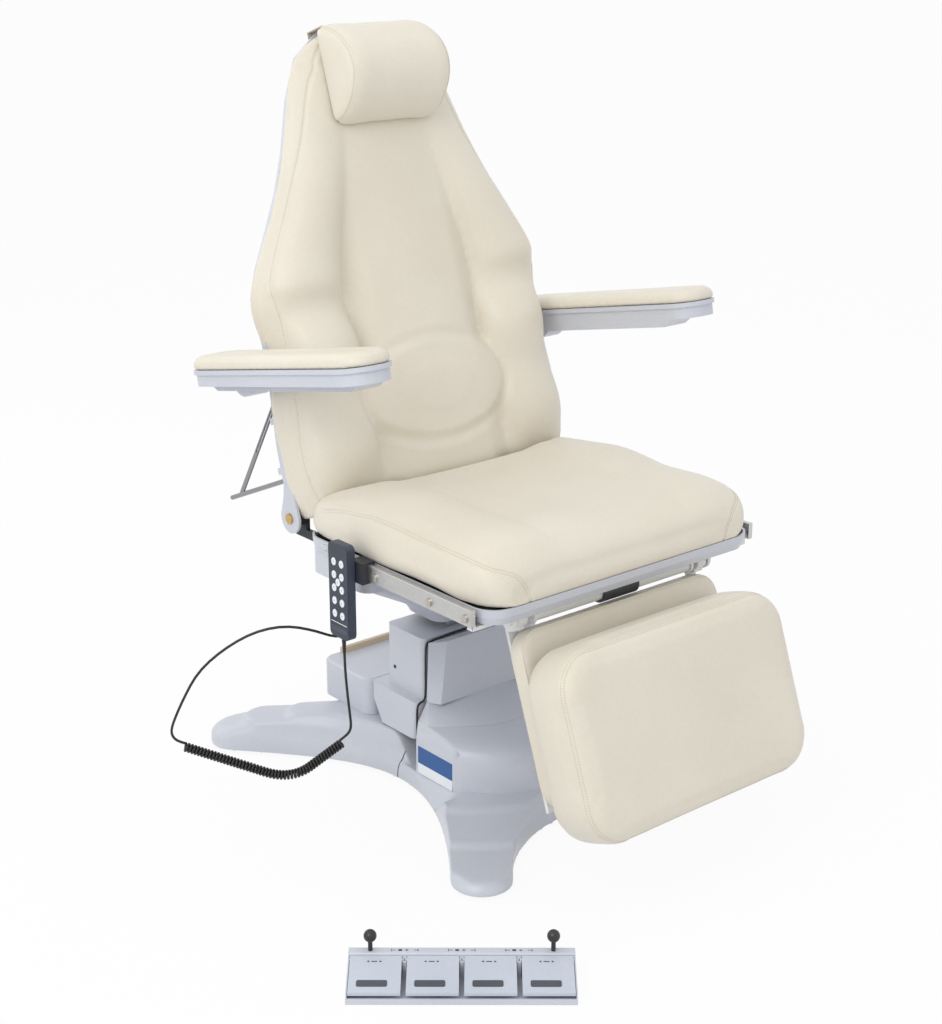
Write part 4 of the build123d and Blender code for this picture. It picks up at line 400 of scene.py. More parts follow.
@dataclass
class Workshop:
    """Keeps the loaded frame and turns finished meshes into pieces that ride on its bodies."""

    frame: dict[str, Any]

    def node_mesh(self, node: str) -> bmesh.types.BMesh:
        """Copies a node's mesh and joins its loose triangles.

        Args:
            node: Name of the node.

        Returns:
            A closed mesh with the node's shape.
        """
        mesh = bmesh.new()
        mesh.from_mesh(self.frame["nodes"][node].data)
        bmesh.ops.remove_doubles(mesh, verts=mesh.verts, dist=2e-5)
        bmesh.ops.recalc_face_normals(mesh, faces=mesh.faces)
        return mesh

    def piece(
        self, mesh: bmesh.types.BMesh, name: str, body: str, finish: Finish, smooth: bool = True
    ) -> bpy.types.Object:
        """Makes a mesh a piece of the chair.

        Args:
            mesh: The finished mesh, which is used up.
            name: Name of the piece.
            body: The body that it moves with.
            finish: Its finish.
            smooth: Whether its faces are shaded smooth.

        Returns:
            The new object.
        """
        for face in mesh.faces:
            face.smooth = smooth
        data = bpy.data.meshes.new(name)
        mesh.to_mesh(data)
        mesh.free()
        return self.dress(bpy.data.objects.new(name, data), body, finish)

    def dress(self, thing: bpy.types.Object, body: str, finish: Finish) -> bpy.types.Object:
        """Gives an object its finish and its body, and reports it."""
        if thing.name not in bpy.context.scene.collection.objects:
            bpy.context.scene.collection.objects.link(thing)
        thing.data.materials.clear()
        thing.data.materials.append(finish.material())
        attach(thing, body)
        log.info("%s rides on %s", thing.name, body)
        return thing

    def finish_nodes(self) -> None:
        """Gives every carried node its finish, by the longest name that fits it."""
        for name, thing in self.frame["nodes"].items():
            fitting = [key for key in NODE_FINISHES if name.startswith(key)]
            if not fitting:
                continue
            finish = NODE_FINISHES[max(fitting, key=len)]
            thing.data.materials.clear()
            thing.data.materials.append(finish.material())
        self._paint_ears()

    def _paint_ears(self) -> None:
        """Paints the leg rest's hinge ears on the seat frame white."""
        data = self.frame["nodes"]["seat_frame"].data
        data.materials.append(WHITE_BRACKET.material())
        for face in data.polygons:
            if face.center.y < EAR_REAR and face.center.z < EAR_TOP:
                face.material_index = 1


def settled(thing: bpy.types.Object) -> bpy.types.Mesh:
    """Returns a new mesh of an object with its modifiers done."""
    bpy.context.view_layer.update()
    seen = thing.evaluated_get(bpy.context.evaluated_depsgraph_get())
    return bpy.data.meshes.new_from_object(seen)


def spline_curve(
    name: str, points: Sequence[Vector], radius: float = 0.0, steps: int = 8
) -> bpy.types.Object:
    """Makes a smooth curve with the points as its control points.

    Args:
        name: Name of the curve.
        points: Its control points.
        radius: Radius of the round section, or nothing for a bare line.
        steps: Points between each two control points.

    Returns:
        The curve object, linked to the scene.
    """
    curve = bpy.data.curves.new(name, "CURVE")
    curve.dimensions = "3D"
    curve.resolution_u = steps
    curve.bevel_depth = radius
    curve.bevel_resolution = 3
    curve.use_fill_caps = radius > 0
    spline = curve.splines.new("NURBS")
    spline.points.add(len(points) - 1)
    for place, point in zip(spline.points, points):
        place.co = (*point, 1.0)
    spline.order_u = 3
    spline.use_endpoint_u = True
    thing = bpy.data.objects.new(name, curve)
    bpy.context.scene.collection.objects.link(thing)
    return thing


def spline_points(points: Sequence[Vector], steps: int = 16) -> list[Vector]:
    """Reads evenly numbered points along the smooth line of some control points.

    Args:
        points: Control points.
        steps: Points between each two control points.

    Returns:
        The points along the line, from its start to its end.
    """
    thing = spline_curve("line", points, steps=steps)
    mesh = settled(thing)
    line = [vertex.co.copy() for vertex in mesh.vertices]
    bpy.data.objects.remove(thing)
    bpy.data.meshes.remove(mesh)
    return line


def even(line: Sequence[Vector], pitch: float, closed: bool = False) -> list[Vector]:
    """Places points along a line at an even pitch.

    Args:
        line: Points of the line.
        pitch: Wanted distance between the points.
        closed: Whether the line's end joins its start.

    Returns:
        The evenly spaced points.
    """
    path = list(line) + ([line[0]] if closed else [])
    lengths = [0.0]
    for before, after in zip(path, path[1:]):
        lengths.append(lengths[-1] + (after - before).length)
    count = max(2, round(lengths[-1] / pitch))
    placed, part = [], 0
    for number in range(count if closed else count + 1):
        wanted = lengths[-1] * number / count
        while part < len(path) - 2 and lengths[part + 1] < wanted:
            part += 1
        run = max(1e-9, lengths[part + 1] - lengths[part])
        placed.append(path[part].lerp(path[part + 1], (wanted - lengths[part]) / run))
    return placed


def turned(
    mesh: bmesh.types.BMesh, profile: Sequence[tuple[float, float]], place: Matrix, steps: int = 28
) -> None:
    """Spins a profile round the Z axis and puts the result in place.

    Args:
        mesh: Mesh that takes the shape.
        profile: Radius and height of each point, from one end of the axis to the other.
        place: Where the shape goes.
        steps: Faces round the axis.
    """
    verts = [mesh.verts.new((radius, 0.0, height)) for radius, height in profile]
    edges = [mesh.edges.new(pair) for pair in zip(verts, verts[1:])]
    bmesh.ops.spin(
        mesh, geom=verts + edges, cent=(0, 0, 0), axis=(0, 0, 1), angle=math.tau, steps=steps,
        use_merge=True,
    )
    made = {v for face in mesh.faces for v in face.verts}
    bmesh.ops.remove_doubles(mesh, verts=list(made), dist=1e-6)
    bmesh.ops.recalc_face_normals(mesh, faces=mesh.faces)
    bmesh.ops.transform(mesh, matrix=place, verts=mesh.verts)


def aimed(origin: Vector, direction: Vector) -> Matrix:
    """Returns the matrix that puts the Z axis at a point, along a direction."""
    return Matrix.Translation(origin) @ direction.to_track_quat("Z", "Y").to_matrix().to_4x4()


def rounded_plate(
    width: float, height: float, thickness: float, corner: float, place: Matrix
) -> bmesh.types.BMesh:
    """Makes a thin plate with round corners and softened edges.

    Args:
        width: Size along X.
        height: Size along Y.
        thickness: Size along Z, upwards from the plate's back.
        corner: Radius of the four corners.
        place: Where the plate goes.

    Returns:
        The plate.
    """
    mesh = bmesh.new()
    bmesh.ops.create_cube(mesh, size=1.0)
    bmesh.ops.scale(mesh, vec=(width, height, thickness), verts=mesh.verts)
    bmesh.ops.translate(mesh, vec=(0, 0, thickness / 2), verts=mesh.verts)
    upright = [e for e in mesh.edges if abs(e.verts[0].co.z - e.verts[1].co.z) > thickness / 2]
    bmesh.ops.bevel(
        mesh, geom=upright, offset=corner, segments=6, profile=0.5, affect="EDGES", material=-1
    )
    rim = [e for e in mesh.edges if min(v.co.z for v in e.verts) > thickness * 0.9]
    outer = [e for e in rim if len({len(f.verts) > 4 for f in e.link_faces}) == 2]
    bmesh.ops.bevel(
        mesh, geom=outer, offset=thickness * 0.35, segments=2, profile=0.5, affect="EDGES",
        material=-1,
    )
    bmesh.ops.transform(mesh, matrix=place, verts=mesh.verts)
    return mesh


def tube_along(points: Sequence[Vector], radius: float, name: str) -> bmesh.types.BMesh:
    """Makes a round tube along a smooth line.

    Args:
        points: Control points of the line.
        radius: Radius of the tube.
        name: Name of the curve that is used for it.

    Returns:
        The tube as a mesh.
    """
    thing = spline_curve(name, points, radius, 3)
    data = settled(thing)
    mesh = bmesh.new()
    mesh.from_mesh(data)
    bpy.data.objects.remove(thing)
    bpy.data.meshes.remove(data)
    return mesh


def join(whole: bmesh.types.BMesh, part: bmesh.types.BMesh) -> None:
    """Adds a part to a mesh and frees the part."""
    data = bpy.data.meshes.new("part")
    part.to_mesh(data)
    part.free()
    whole.from_mesh(data)
    bpy.data.meshes.remove(data)


def loops_of(edges: Iterable[bmesh.types.BMEdge]) -> list[list[Vector]]:
    """Orders cut edges into lines.

    Args:
        edges: The edges of a cut.

    Returns:
        Each line's points in order, the longest line first.
    """
    beside: dict[Any, list[Any]] = {}
    for edge in edges:
        first, second = edge.verts
        beside.setdefault(first, []).append(second)
        beside.setdefault(second, []).append(first)
    lines, seen = [], set()
    starts = sorted(beside, key=lambda v: (len(beside[v]) != 1, v.index))
    for start in starts:
        if start in seen:
            continue
        line, here = [start], start
        seen.add(start)
        while True:
            ahead = [v for v in beside[here] if v not in seen]
            if not ahead:
                break
            here = ahead[0]
            seen.add(here)
            line.append(here)
        lines.append([v.co.copy() for v in line])
    return sorted(lines, key=len, reverse=True)


def cut_lines(mesh: bmesh.types.BMesh, point: Vector, normal: Vector) -> list[list[Vector]]:
    """Returns the lines in which a plane cuts a mesh, longest first; the mesh stays as it was."""
    copy = mesh.copy()
    cut = bmesh.ops.bisect_plane(
        copy, geom=list(copy.verts) + list(copy.edges) + list(copy.faces), dist=1e-6,
        plane_co=point, plane_no=normal,
    )
    copy.verts.index_update()
    lines = loops_of(e for e in cut["geom_cut"] if isinstance(e, bmesh.types.BMEdge))
    copy.free()
    return lines


# ---------------------------------------------------------------- upholstery


def eased(value: float, start: float, stop: float) -> float:
    """Returns 0 before the start and 1 after the stop, with a smooth rise between them."""
    share = min(1.0, max(0.0, (value - start) / (stop - start)))
    return share * share * (3 - 2 * share)


@dataclass
class Seam:
    """A sewn line on a cover, with its groove and its rows of stitches."""

    line: list[Vector]
    closed: bool = False
    depth: float = 1.3 * MM
    width: float = 3.4 * MM
    rows: tuple[float, ...] = (3.2 * MM,)
    stitched: bool = True


@dataclass
class Cover:
    """A padded piece: its node's form, filled, smoothed and sewn."""

    shop: Workshop
    node: str
    name: str
    body: str
    rest_side: Vector
    voxel: float = 6 * MM
    swell: float = 3 * MM
    fill: float = 0.6
    smoothing: int = 4
    hold: float = 0.8
    pressure: float = 4.0
    stitch_pitch: float = 4.6 * MM
    stitch_length: float = 3.3 * MM
    stitch_radius: float = 0.5 * MM
    stitch_lift: float = 0.1 * MM
    pulled: Callable[[Vector, Vector], Vector] | None = None
    _skin: bmesh.types.BMesh | None = field(default=None, repr=False)
    _solid: BVHTree | None = field(default=None, repr=False)

    def form(self) -> "Cover":
        """Makes the filled cover without its seams.

        Returns:
            This cover, ready for its seams.
        """
        start = bpy.data.meshes.new(self.name)
        mesh = self.shop.node_mesh(self.node)
        self._solid = BVHTree.FromBMesh(mesh)
        mesh.to_mesh(start)
        mesh.free()
        thing = bpy.data.objects.new(self.name, start)
        bpy.context.scene.collection.objects.link(thing)
        remesh = thing.modifiers.new("even_skin", "REMESH")
        remesh.mode = "VOXEL"
        remesh.voxel_size = self.voxel
        thing.data = settled(thing)
        thing.modifiers.clear()
        self._relax(thing, self.smoothing)
        self._inflate(thing)
        self._relax(thing, 1)
        finer = thing.modifiers.new("finer_skin", "SUBSURF")
        finer.levels = finer.render_levels = 1
        thing.data = settled(thing)
        thing.modifiers.clear()
        self._skin = bmesh.new()
        self._skin.from_mesh(thing.data)
        bpy.data.objects.remove(thing)
        if self.pulled:
            self._skin.normal_update()
            places = [self.pulled(vertex.co, vertex.normal) for vertex in self._skin.verts]
            for vertex, place in zip(self._skin.verts, places):
                vertex.co = place
        return self

    def _relax(self, thing: bpy.types.Object, rounds: int) -> None:
        """Evens out the steps that the remesh leaves, and goes most of the way back to the form.

        Args:
            thing: The cover.
            rounds: How often it is smoothed.
        """
        mesh = bmesh.new()
        mesh.from_mesh(thing.data)
        before = {vertex.index: vertex.co.copy() for vertex in mesh.verts}
        for _ in range(rounds):
            bmesh.ops.smooth_vert(
                mesh, verts=mesh.verts, factor=0.5, use_axis_x=True, use_axis_y=True,
                use_axis_z=True,
            )
        if rounds > 1:
            for vertex in mesh.verts:
                vertex.co = vertex.co.lerp(self._solid.find_nearest(vertex.co)[0], self.hold)
        else:
            for vertex in mesh.verts:
                vertex.co = vertex.co.lerp(before[vertex.index], 0.5)
        mesh.to_mesh(thing.data)
        mesh.free()

    def _inflate(self, thing: bpy.types.Object) -> None:
        """Fills the cover with a short cloth simulation, held on the side that it rests on."""
        held = thing.vertex_groups.new(name="held")
        thing.data.update()
        resting = [v.index for v in thing.data.vertices if v.normal.dot(self.rest_side) > 0.75]
        held.add(resting, 1.0, "REPLACE")
        before = [v.co.copy() for v in thing.data.vertices]
        cloth = thing.modifiers.new("filling", "CLOTH")
        cloth.settings.quality = 3
        cloth.settings.use_pressure = True
        cloth.settings.uniform_pressure_force = self.pressure
        cloth.settings.effector_weights.gravity = 0.0
        cloth.settings.vertex_group_mass = "held"
        cloth.point_cache.frame_end = 16
        scene = bpy.context.scene
        for number in range(1, 15):
            scene.frame_set(number)
        filled = settled(thing)
        scene.frame_set(1)
        thing.modifiers.clear()
        thing.vertex_groups.clear()
        for vertex, old, new in zip(thing.data.vertices, before, filled.vertices):
            move = new.co - old
            if move.length > self.swell:
                move = move * (self.swell / move.length)
            vertex.co = old + move
        bpy.data.meshes.remove(filled)

    def section(self, point: Vector, normal: Vector) -> list[Vector]:
        """Returns the longest line in which a plane cuts the cover."""
        return cut_lines(self._skin, point, normal)[0]

    def laid(self, line: Sequence[Vector]) -> list[Vector]:
        """Lays the points of a line on the cover's nearest places."""
        tree = BVHTree.FromBMesh(self._skin)
        return [tree.find_nearest(point)[0] for point in line]

    def thrown(self, line: Sequence[Vector], direction: Vector) -> list[Vector]:
        """Lays the points of a line on the cover along one direction."""
        tree = BVHTree.FromBMesh(self._skin)
        hits = [tree.ray_cast(point, direction)[0] for point in line]
        return [hit for hit in hits if hit is not None]

    def sew(self, seams: Sequence[Seam]) -> bpy.types.Object:
        """Presses the seams in, adds their stitches and finishes the piece.

        Args:
            seams: The seams of this cover.

        Returns:
            The finished cover.
        """
        for seam in seams:
            self._press(seam)
        self._skin.normal_update()
        threads = self._stitches([seam for seam in seams if seam.stitched])
        cover = self.shop.piece(self._skin, self.name, self.body, VINYL)
        self._skin = None
        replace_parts(cover, self.node)
        if threads is not None:
            self.shop.piece(threads, f"{self.name}_stitches", self.body, THREAD)
        return cover

    def _press(self, seam: Seam) -> None:
        """Presses one seam's groove into the cover, with a slight rise at each side."""
        points = even(seam.line, 1.5 * MM, seam.closed)
        tree = KDTree(len(points))
        for number, point in enumerate(points):
            tree.insert(point, number)
        tree.balance()
        self._skin.normal_update()
        reach = seam.width * 3
        moves = []
        for vertex in self._skin.verts:
            distance = tree.find(vertex.co)[2]
            if distance < reach:
                share = distance / seam.width
                rise = math.exp(-share * share) - 0.28 * math.exp(-((share - 1.9) ** 2) * 2.2)
                moves.append((vertex, vertex.normal * (-seam.depth * rise)))
        for vertex, move in moves:
            vertex.co += move

    def _stitches(self, seams: Sequence[Seam]) -> bmesh.types.BMesh | None:
        """Makes the stitches of the seams.

        Args:
            seams: Seams with visible stitches.

        Returns:
            One mesh of all the stitches, or nothing where no seam has any.
        """
        if not seams:
            return None
        tree = BVHTree.FromBMesh(self._skin)
        mesh = bmesh.new()
        for seam in seams:
            line = even(seam.line, self.stitch_pitch, seam.closed)
            for number, point in enumerate(line):
                if seam.closed:
                    before, after = line[number - 1], line[(number + 1) % len(line)]
                else:
                    before = line[max(number - 1, 0)]
                    after = line[min(number + 1, len(line) - 1)]
                along = (after - before).normalized()
                normal = tree.find_nearest(point)[1]
                side = along.cross(normal)
                for row in seam.rows:
                    spot, up = tree.find_nearest(point + side * row)[:2]
                    self._stitch(mesh, spot, along, up)
        return mesh

    def _stitch(
        self, mesh: bmesh.types.BMesh, spot: Vector, along: Vector, up: Vector
    ) -> None:
        """Adds one stitch.

        Args:
            mesh: Mesh of the stitches.
            spot: Its middle, on the cover.
            along: The way that the seam runs.
            up: The cover's outward direction.
        """
        side = along.cross(up).normalized()
        lengthwise = up.cross(side)
        turn = Matrix((lengthwise, side, up)).transposed().to_4x4()
        thread = self.stitch_radius
        sizes = Matrix.Diagonal((self.stitch_length / 2, thread, thread, 1.0))
        bmesh.ops.create_icosphere(
            mesh, subdivisions=1, radius=1.0,
            matrix=Matrix.Translation(spot + up * self.stitch_lift) @ turn @ sizes,
        )


@dataclass
class SeatCushion:
    """The seat cushion and the seams along its shoulders."""

    shop: Workshop
    shoulder: tuple[tuple[float, float, float], ...] = (
        (298, 140, 548), (300, 92, 566), (300, 20, 579), (300, -57, 584), (300, -130, 583),
        (299, -190, 578), (297, -240, 573), (288, -284, 572), (268, -303, 566), (248, -305, 550),
        (233, -305, 530), (224, -304, 512), (221, -303, 500),
    )
    corner_reach: float = 36 * MM
    corner_from: float = 25 * MM
    corner_to: float = 145 * MM
    corner_inner: float = 200 * MM
    corner_outer: float = 280 * MM

    def filled_out(self, point: Vector, _: Vector) -> Vector:
        """Draws the cushion's rear corners back towards the backrest's pivots."""
        share = eased(point.y, self.corner_from, self.corner_to)
        share *= eased(abs(point.x), self.corner_inner, self.corner_outer)
        return point + Vector((0, self.corner_reach * share, 0))

    def build(self) -> None:
        """Builds the cushion with a sewn line on each side."""
        cover = Cover(
            self.shop, "seat_cushion", "seat_cover", "seat", Vector((0, 0, -1)), voxel=6 * MM,
            swell=2.5 * MM, fill=0.8, pulled=self.filled_out,
        ).form()
        seams = []
        for side in (-1, 1):
            aims = [Vector((side * x, y, z)) * MM for x, y, z in self.shoulder]
            seams.append(Seam(cover.laid(spline_points(aims)), rows=(2.6 * MM, -2.6 * MM)))
        cover.sew(seams)


@dataclass
class Backrest:
    """The backrest cushion, the headrest pillow and its straps."""

    shop: Workshop
    origin: Vector = field(default_factory=lambda: Vector((0, 0.145, 0.5)))
    lean: float = math.radians(18)
    side_low: float = -13 * MM
    side_rise: float = 0.026
    oval_height: float = 212 * MM
    oval_half_width: float = 163 * MM
    oval_half_height: float = 95 * MM
    oval_points: int = 120
    oval_away: float = 250 * MM
    pillow_half: float = 112 * MM
    pillow_seam_inset: float = 9 * MM
    wrap_from: float = 31 * MM
    wrap_low: float = 26 * MM
    wrap_high: float = 7 * MM
    wrap_low_s: float = 330 * MM
    wrap_high_s: float = 640 * MM
    wrap_out: float = 6 * MM
    wrap_sides: tuple[float, float] = (90 * MM, 140 * MM)
    rear_facing: tuple[float, float] = (0.55, 0.95)
    foot_drop: float = 16 * MM
    foot_drop_s: float = 70 * MM
    foot_sides: tuple[float, float] = (170 * MM, 270 * MM)

    def wrapped(self, point: Vector, normal: Vector) -> Vector:
        """Draws the cover's sides round the shell's edge and its lower corners down.

        Args:
            point: A place on the cover.
            normal: The cover's outward direction there.

        Returns:
            Where that place goes.
        """
        upward = self.place(0, 1, 0) - self.origin
        forward = self.place(0, 0, 1) - self.origin
        arm = point - self.origin
        up, front, across = arm.dot(upward), arm.dot(forward), abs(point.x)
        least, most = self.rear_facing
        flat = min(1.0, max(0.0, (-normal.dot(forward) - least) / (most - least)))
        share = min(1.0, max(0.0, 1.0 - front / self.wrap_from)) ** 2 * (1.0 - flat)
        share *= eased(across, *self.wrap_sides)
        climb = eased(up, self.wrap_low_s, self.wrap_high_s)
        reach = self.wrap_low + (self.wrap_high - self.wrap_low) * climb
        moved = point - forward * reach * share
        moved.x += math.copysign(self.wrap_out * share, point.x)
        corner = eased(across, *self.foot_sides) * eased(-up, -self.foot_drop_s, 0.0)
        return moved - upward * self.foot_drop * corner

    def place(self, x: float, up: float, front: float) -> Vector:
        """Returns a point from its place across, up and in front of the backrest."""
        sine, cosine = math.sin(self.lean), math.cos(self.lean)
        return self.origin + Vector((x, up * sine - front * cosine, up * cosine + front * sine))

    def build(self) -> None:
        """Builds the cushion, the pillow and the straps."""
        rear = self.place(0, 0, -1) - self.place(0, 0, 0)
        self._cushion(rear)
        self._pillow(rear)
        strap = self.shop.node_mesh("headrest_strap")
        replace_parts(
            self.shop.piece(strap, "headrest_webbing", "back", WEBBING, smooth=False),
            "headrest_strap",
        )

    def _cushion(self, rear: Vector) -> None:
        """Builds the back cushion with its border seam and lumbar line."""
        cover = Cover(
            self.shop, "back_cushion", "back_cover", "back", rear, voxel=7 * MM,
            swell=2.5 * MM, fill=0.75, pulled=self.wrapped,
        ).form()
        foot = self.place(0, 0, self.side_low)
        along = self.place(0, 1, self.side_low + self.side_rise) - foot
        border = cover.section(foot, Vector((1, 0, 0)).cross(along).normalized())
        oval = []
        for number in range(self.oval_points):
            turn = math.tau * number / self.oval_points
            oval.append(
                self.place(
                    self.oval_half_width * math.cos(turn),
                    self.oval_height + self.oval_half_height * math.sin(turn),
                    self.oval_away,
                )
            )
        lumbar = cover.thrown(oval, rear)
        cover.sew(
            [
                Seam(border, True, rows=(3.0 * MM,)),
                Seam(lumbar, True, depth=2.0 * MM, width=9 * MM, stitched=False),
            ]
        )

    def _pillow(self, rear: Vector) -> None:
        """Builds the headrest pillow with a seam round each end."""
        cover = Cover(
            self.shop, "headrest_pillow", "headrest_cover", "headrest", rear, voxel=4.5 * MM,
            swell=2.5 * MM, fill=0.85,
        ).form()
        seams = []
        for side in (-1, 1):
            x = side * (self.pillow_half - self.pillow_seam_inset)
            line = cover.section(Vector((x, 0, 0)), Vector((1, 0, 0)))
            rows = (2.4 * MM, -2.4 * MM)
            seams.append(Seam(line, True, depth=1.0 * MM, width=2.6 * MM, rows=rows))
        cover.sew(seams)


@dataclass
class LegRest:
    """The calf pad and the foot pad with their seams and piping."""

    shop: Workshop
    hinge: Vector = field(default_factory=lambda: Vector((0, -0.257, 0.452)))
    slope: float = math.radians(20)
    foot_low: float = 34 * MM
    foot_high: float = 136 * MM
    foot_seam_share: float = 0.86
    calf_piping: float = 13 * MM
    piping_radius: float = 1.7 * MM
    piping_pitch: float = 9 * MM
    rear_seam: float = 9 * MM

    def normal(self) -> Vector:
        """Returns the outward direction of the pads' fronts."""
        return Vector((0, -math.cos(self.slope), math.sin(self.slope)))

    def build(self) -> None:
        """Builds both pads."""
        out = self.normal()
        calf = Cover(
            self.shop, "calf_pad", "calf_cover", "legrest", -out, voxel=5 * MM, swell=0.4 * MM,
            fill=0.6,
        ).form()
        edge = calf.section(self.hinge + out * self.calf_piping, out)
        calf.sew([])
        self._piping(edge, "calf_piping", "legrest")
        foot = Cover(
            self.shop, "foot_pad", "foot_cover", "footrest", -out, voxel=6 * MM, swell=3 * MM,
            fill=0.8,
        ).form()
        level = self.foot_low + (self.foot_high - self.foot_low) * self.foot_seam_share
        line = foot.section(self.hinge + out * level, out)
        rear = foot.section(self.hinge + out * (self.foot_low + self.rear_seam), out)
        foot.sew([Seam(line, True, rows=(3.0 * MM, -3.0 * MM)), Seam(rear, True, stitched=False)])

    def _piping(self, line: Sequence[Vector], name: str, body: str) -> None:
        """Lays a round piping along a closed line."""
        points = even(line, self.piping_pitch, True)
        mesh = tube_along([*points, points[0]], self.piping_radius, name)
        self.shop.piece(mesh, name, body, VINYL)


@dataclass
class ArmPads:
    """The pads on the two armrests."""

    shop: Workshop

    def build(self) -> None:
        """Builds both pads."""
        for side in ("right", "left"):
            cover = Cover(
                self.shop, f"armrest_pad_{side}", f"arm_cover_{side}", f"armrest_{side}",
                Vector((0, 0, -1)), voxel=4.5 * MM, swell=1.2 * MM, fill=0.7,
            ).form()
            cover.sew([])


# ---------------------------------------------------------------- handset and its cord


@dataclass
class Handset:
    """The handset's marks and label band, its cord and the sleeves at the cord's ends."""

    shop: Workshop
    cord_radius: float = 2.3 * MM
    curl_radius: float = 6.35 * MM
    curl_swell: float = 1.13
    curls: int = 51
    points_a_turn: int = 14
    cord_length: float = 2.75
    column: float = 26 * MM
    lead: tuple[tuple[float, float, float], ...] = (
        (-0.343, 0.026, 0.366), (-0.343, 0.026, 0.316), (-0.3406, 0.024, 0.266),
        (-0.3376, 0.0215, 0.222), (-0.3362, 0.0203, 0.1981), (-0.3408, 0.0242, 0.1855),
        (-0.3492, 0.0312, 0.1767),
    )
    curl_axis: tuple[tuple[float, float, float], ...] = (
        (-0.349, 0.031, 0.169), (-0.366, 0.04525, 0.15125), (-0.417, 0.088, 0.098),
        (-0.4865, 0.146, 0.130), (-0.556, 0.204, 0.162),
    )
    tail: tuple[tuple[float, float, float], ...] = (
        (-0.5577, 0.2054, 0.1696), (-0.5678, 0.2139, 0.1743), (-0.5732, 0.2186, 0.1886),
        (-0.5676, 0.2143, 0.2115), (-0.554, 0.202, 0.252), (-0.534, 0.186, 0.300),
        (-0.500, 0.160, 0.340), (-0.456, 0.130, 0.371), (-0.410, 0.102, 0.380),
        (-0.366, 0.082, 0.366), (-0.330, 0.074, 0.346), (-0.299, 0.075, 0.341),
        (-0.284, 0.080, 0.361), (-0.281, 0.084, 0.388), (-0.281, 0.084, 0.416),
    )

    def build(self) -> None:
        """Builds the cord first, then its sleeves and the marks."""
        self._cord()
        self._sleeves()
        self._label_band()
        self._key_marks()

    def _helix(self) -> list[Vector]:
        """Winds the curls round the smooth line of their axis.

        Returns:
            The points of the helix from its first turn to its last.
        """
        line = even(spline_points([Vector(p) for p in self.curl_axis], 24), 1 * MM)
        first, last = line[0], line[-1]
        across = (line[len(line) // 2] - first).cross(last - first).normalized()

        def angle_of(point: Vector, centre: Vector, along: Vector) -> float:
            """Returns a point's angle round the axis."""
            out = along.cross(across).normalized()
            arm = point - centre
            return math.atan2(arm.dot(across), arm.dot(out))

        start = angle_of(Vector(self.lead[-1]), first, (line[1] - first).normalized())
        stop = angle_of(Vector(self.tail[0]), last, (last - line[-2]).normalized())
        sweep = math.tau * self.curls + (stop - start) % math.tau
        count = round(sweep / math.tau * self.points_a_turn)
        points = []
        for number in range(count + 1):
            share = number / count
            spot = share * (len(line) - 1)
            below = min(int(spot), len(line) - 2)
            centre = line[below].lerp(line[below + 1], spot - below)
            along = (line[below + 1] - line[below]).normalized()
            out = along.cross(across).normalized()
            turn = start + sweep * share
            points.append(
                centre + (out * math.cos(turn) + across * math.sin(turn)) * self.curl_radius
            )
        return points

    def _cord(self) -> None:
        """Lays the cord from the handset through its curls to the control box."""
        before = [Vector(p) for p in self.lead[:-1]]
        helix = self._helix()
        after = [Vector(p) for p in self.tail[1:]]
        cord = spline_curve("handset_cord", [*before, *helix, *after], self.cord_radius, 3)
        cord.data.bevel_resolution = 2
        curled = cord.data.splines[0].points[len(before):len(before) + len(helix)]
        for place in curled[self.points_a_turn // 2:-self.points_a_turn // 2]:
            place.radius = self.curl_swell
        self.shop.dress(cord, "seat", CORD)
        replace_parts(cord, "cord_lead", "cord_curls", "cord_tail")

    def _sleeves(self) -> None:
        """Adds the ribbed tapered sleeve at each end of the cord."""
        ends = (
            ("handset_sleeve", Vector(self.lead[0]), Vector((0, 0, -1)), 28 * MM),
            ("socket_sleeve", Vector(self.tail[-1]), Vector((0, 0, -1)), 24 * MM),
        )
        for name, top, way, length in ends:
            profile = [(self.cord_radius + 0.1 * MM, length)]
            ribs = 6
            for rib in range(ribs):
                low = length * (1 - rib / ribs)
                radius = self.cord_radius + (0.7 + 1.1 * rib / ribs) * MM
                profile += [(radius, low - 0.4 * MM), (radius, low - length / ribs * 0.62)]
                profile += [(radius - 0.5 * MM, low - length / ribs * 0.7)]
                profile += [(radius - 0.5 * MM, low - length / ribs * 0.96)]
            profile += [(self.cord_radius + 2.2 * MM, 0.4 * MM), (self.cord_radius + 2.2 * MM, 0.0)]
            mesh = bmesh.new()
            turned(mesh, profile, aimed(top, way))
            self.shop.piece(mesh, name, "seat", CORD)

    def _label_band(self) -> None:
        """Adds the bare band across the handset's lower end and the line above it."""
        facing = Matrix.Rotation(-math.pi / 2, 4, "Y")
        low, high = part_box("handset_face")
        width = (high.y - low.y) - 8 * MM
        for name, z, height, finish in (
            ("handset_band", 0.381, 9 * MM, HANDSET),
            ("handset_line", 0.3925, 1.2 * MM, KEY),
        ):
            place = Matrix.Translation((low.x, self.column, z)) @ facing
            mesh = rounded_plate(height, width, 0.35 * MM, min(height * 0.45, 2 * MM), place)
            self.shop.piece(mesh, name, "seat", finish, smooth=False)

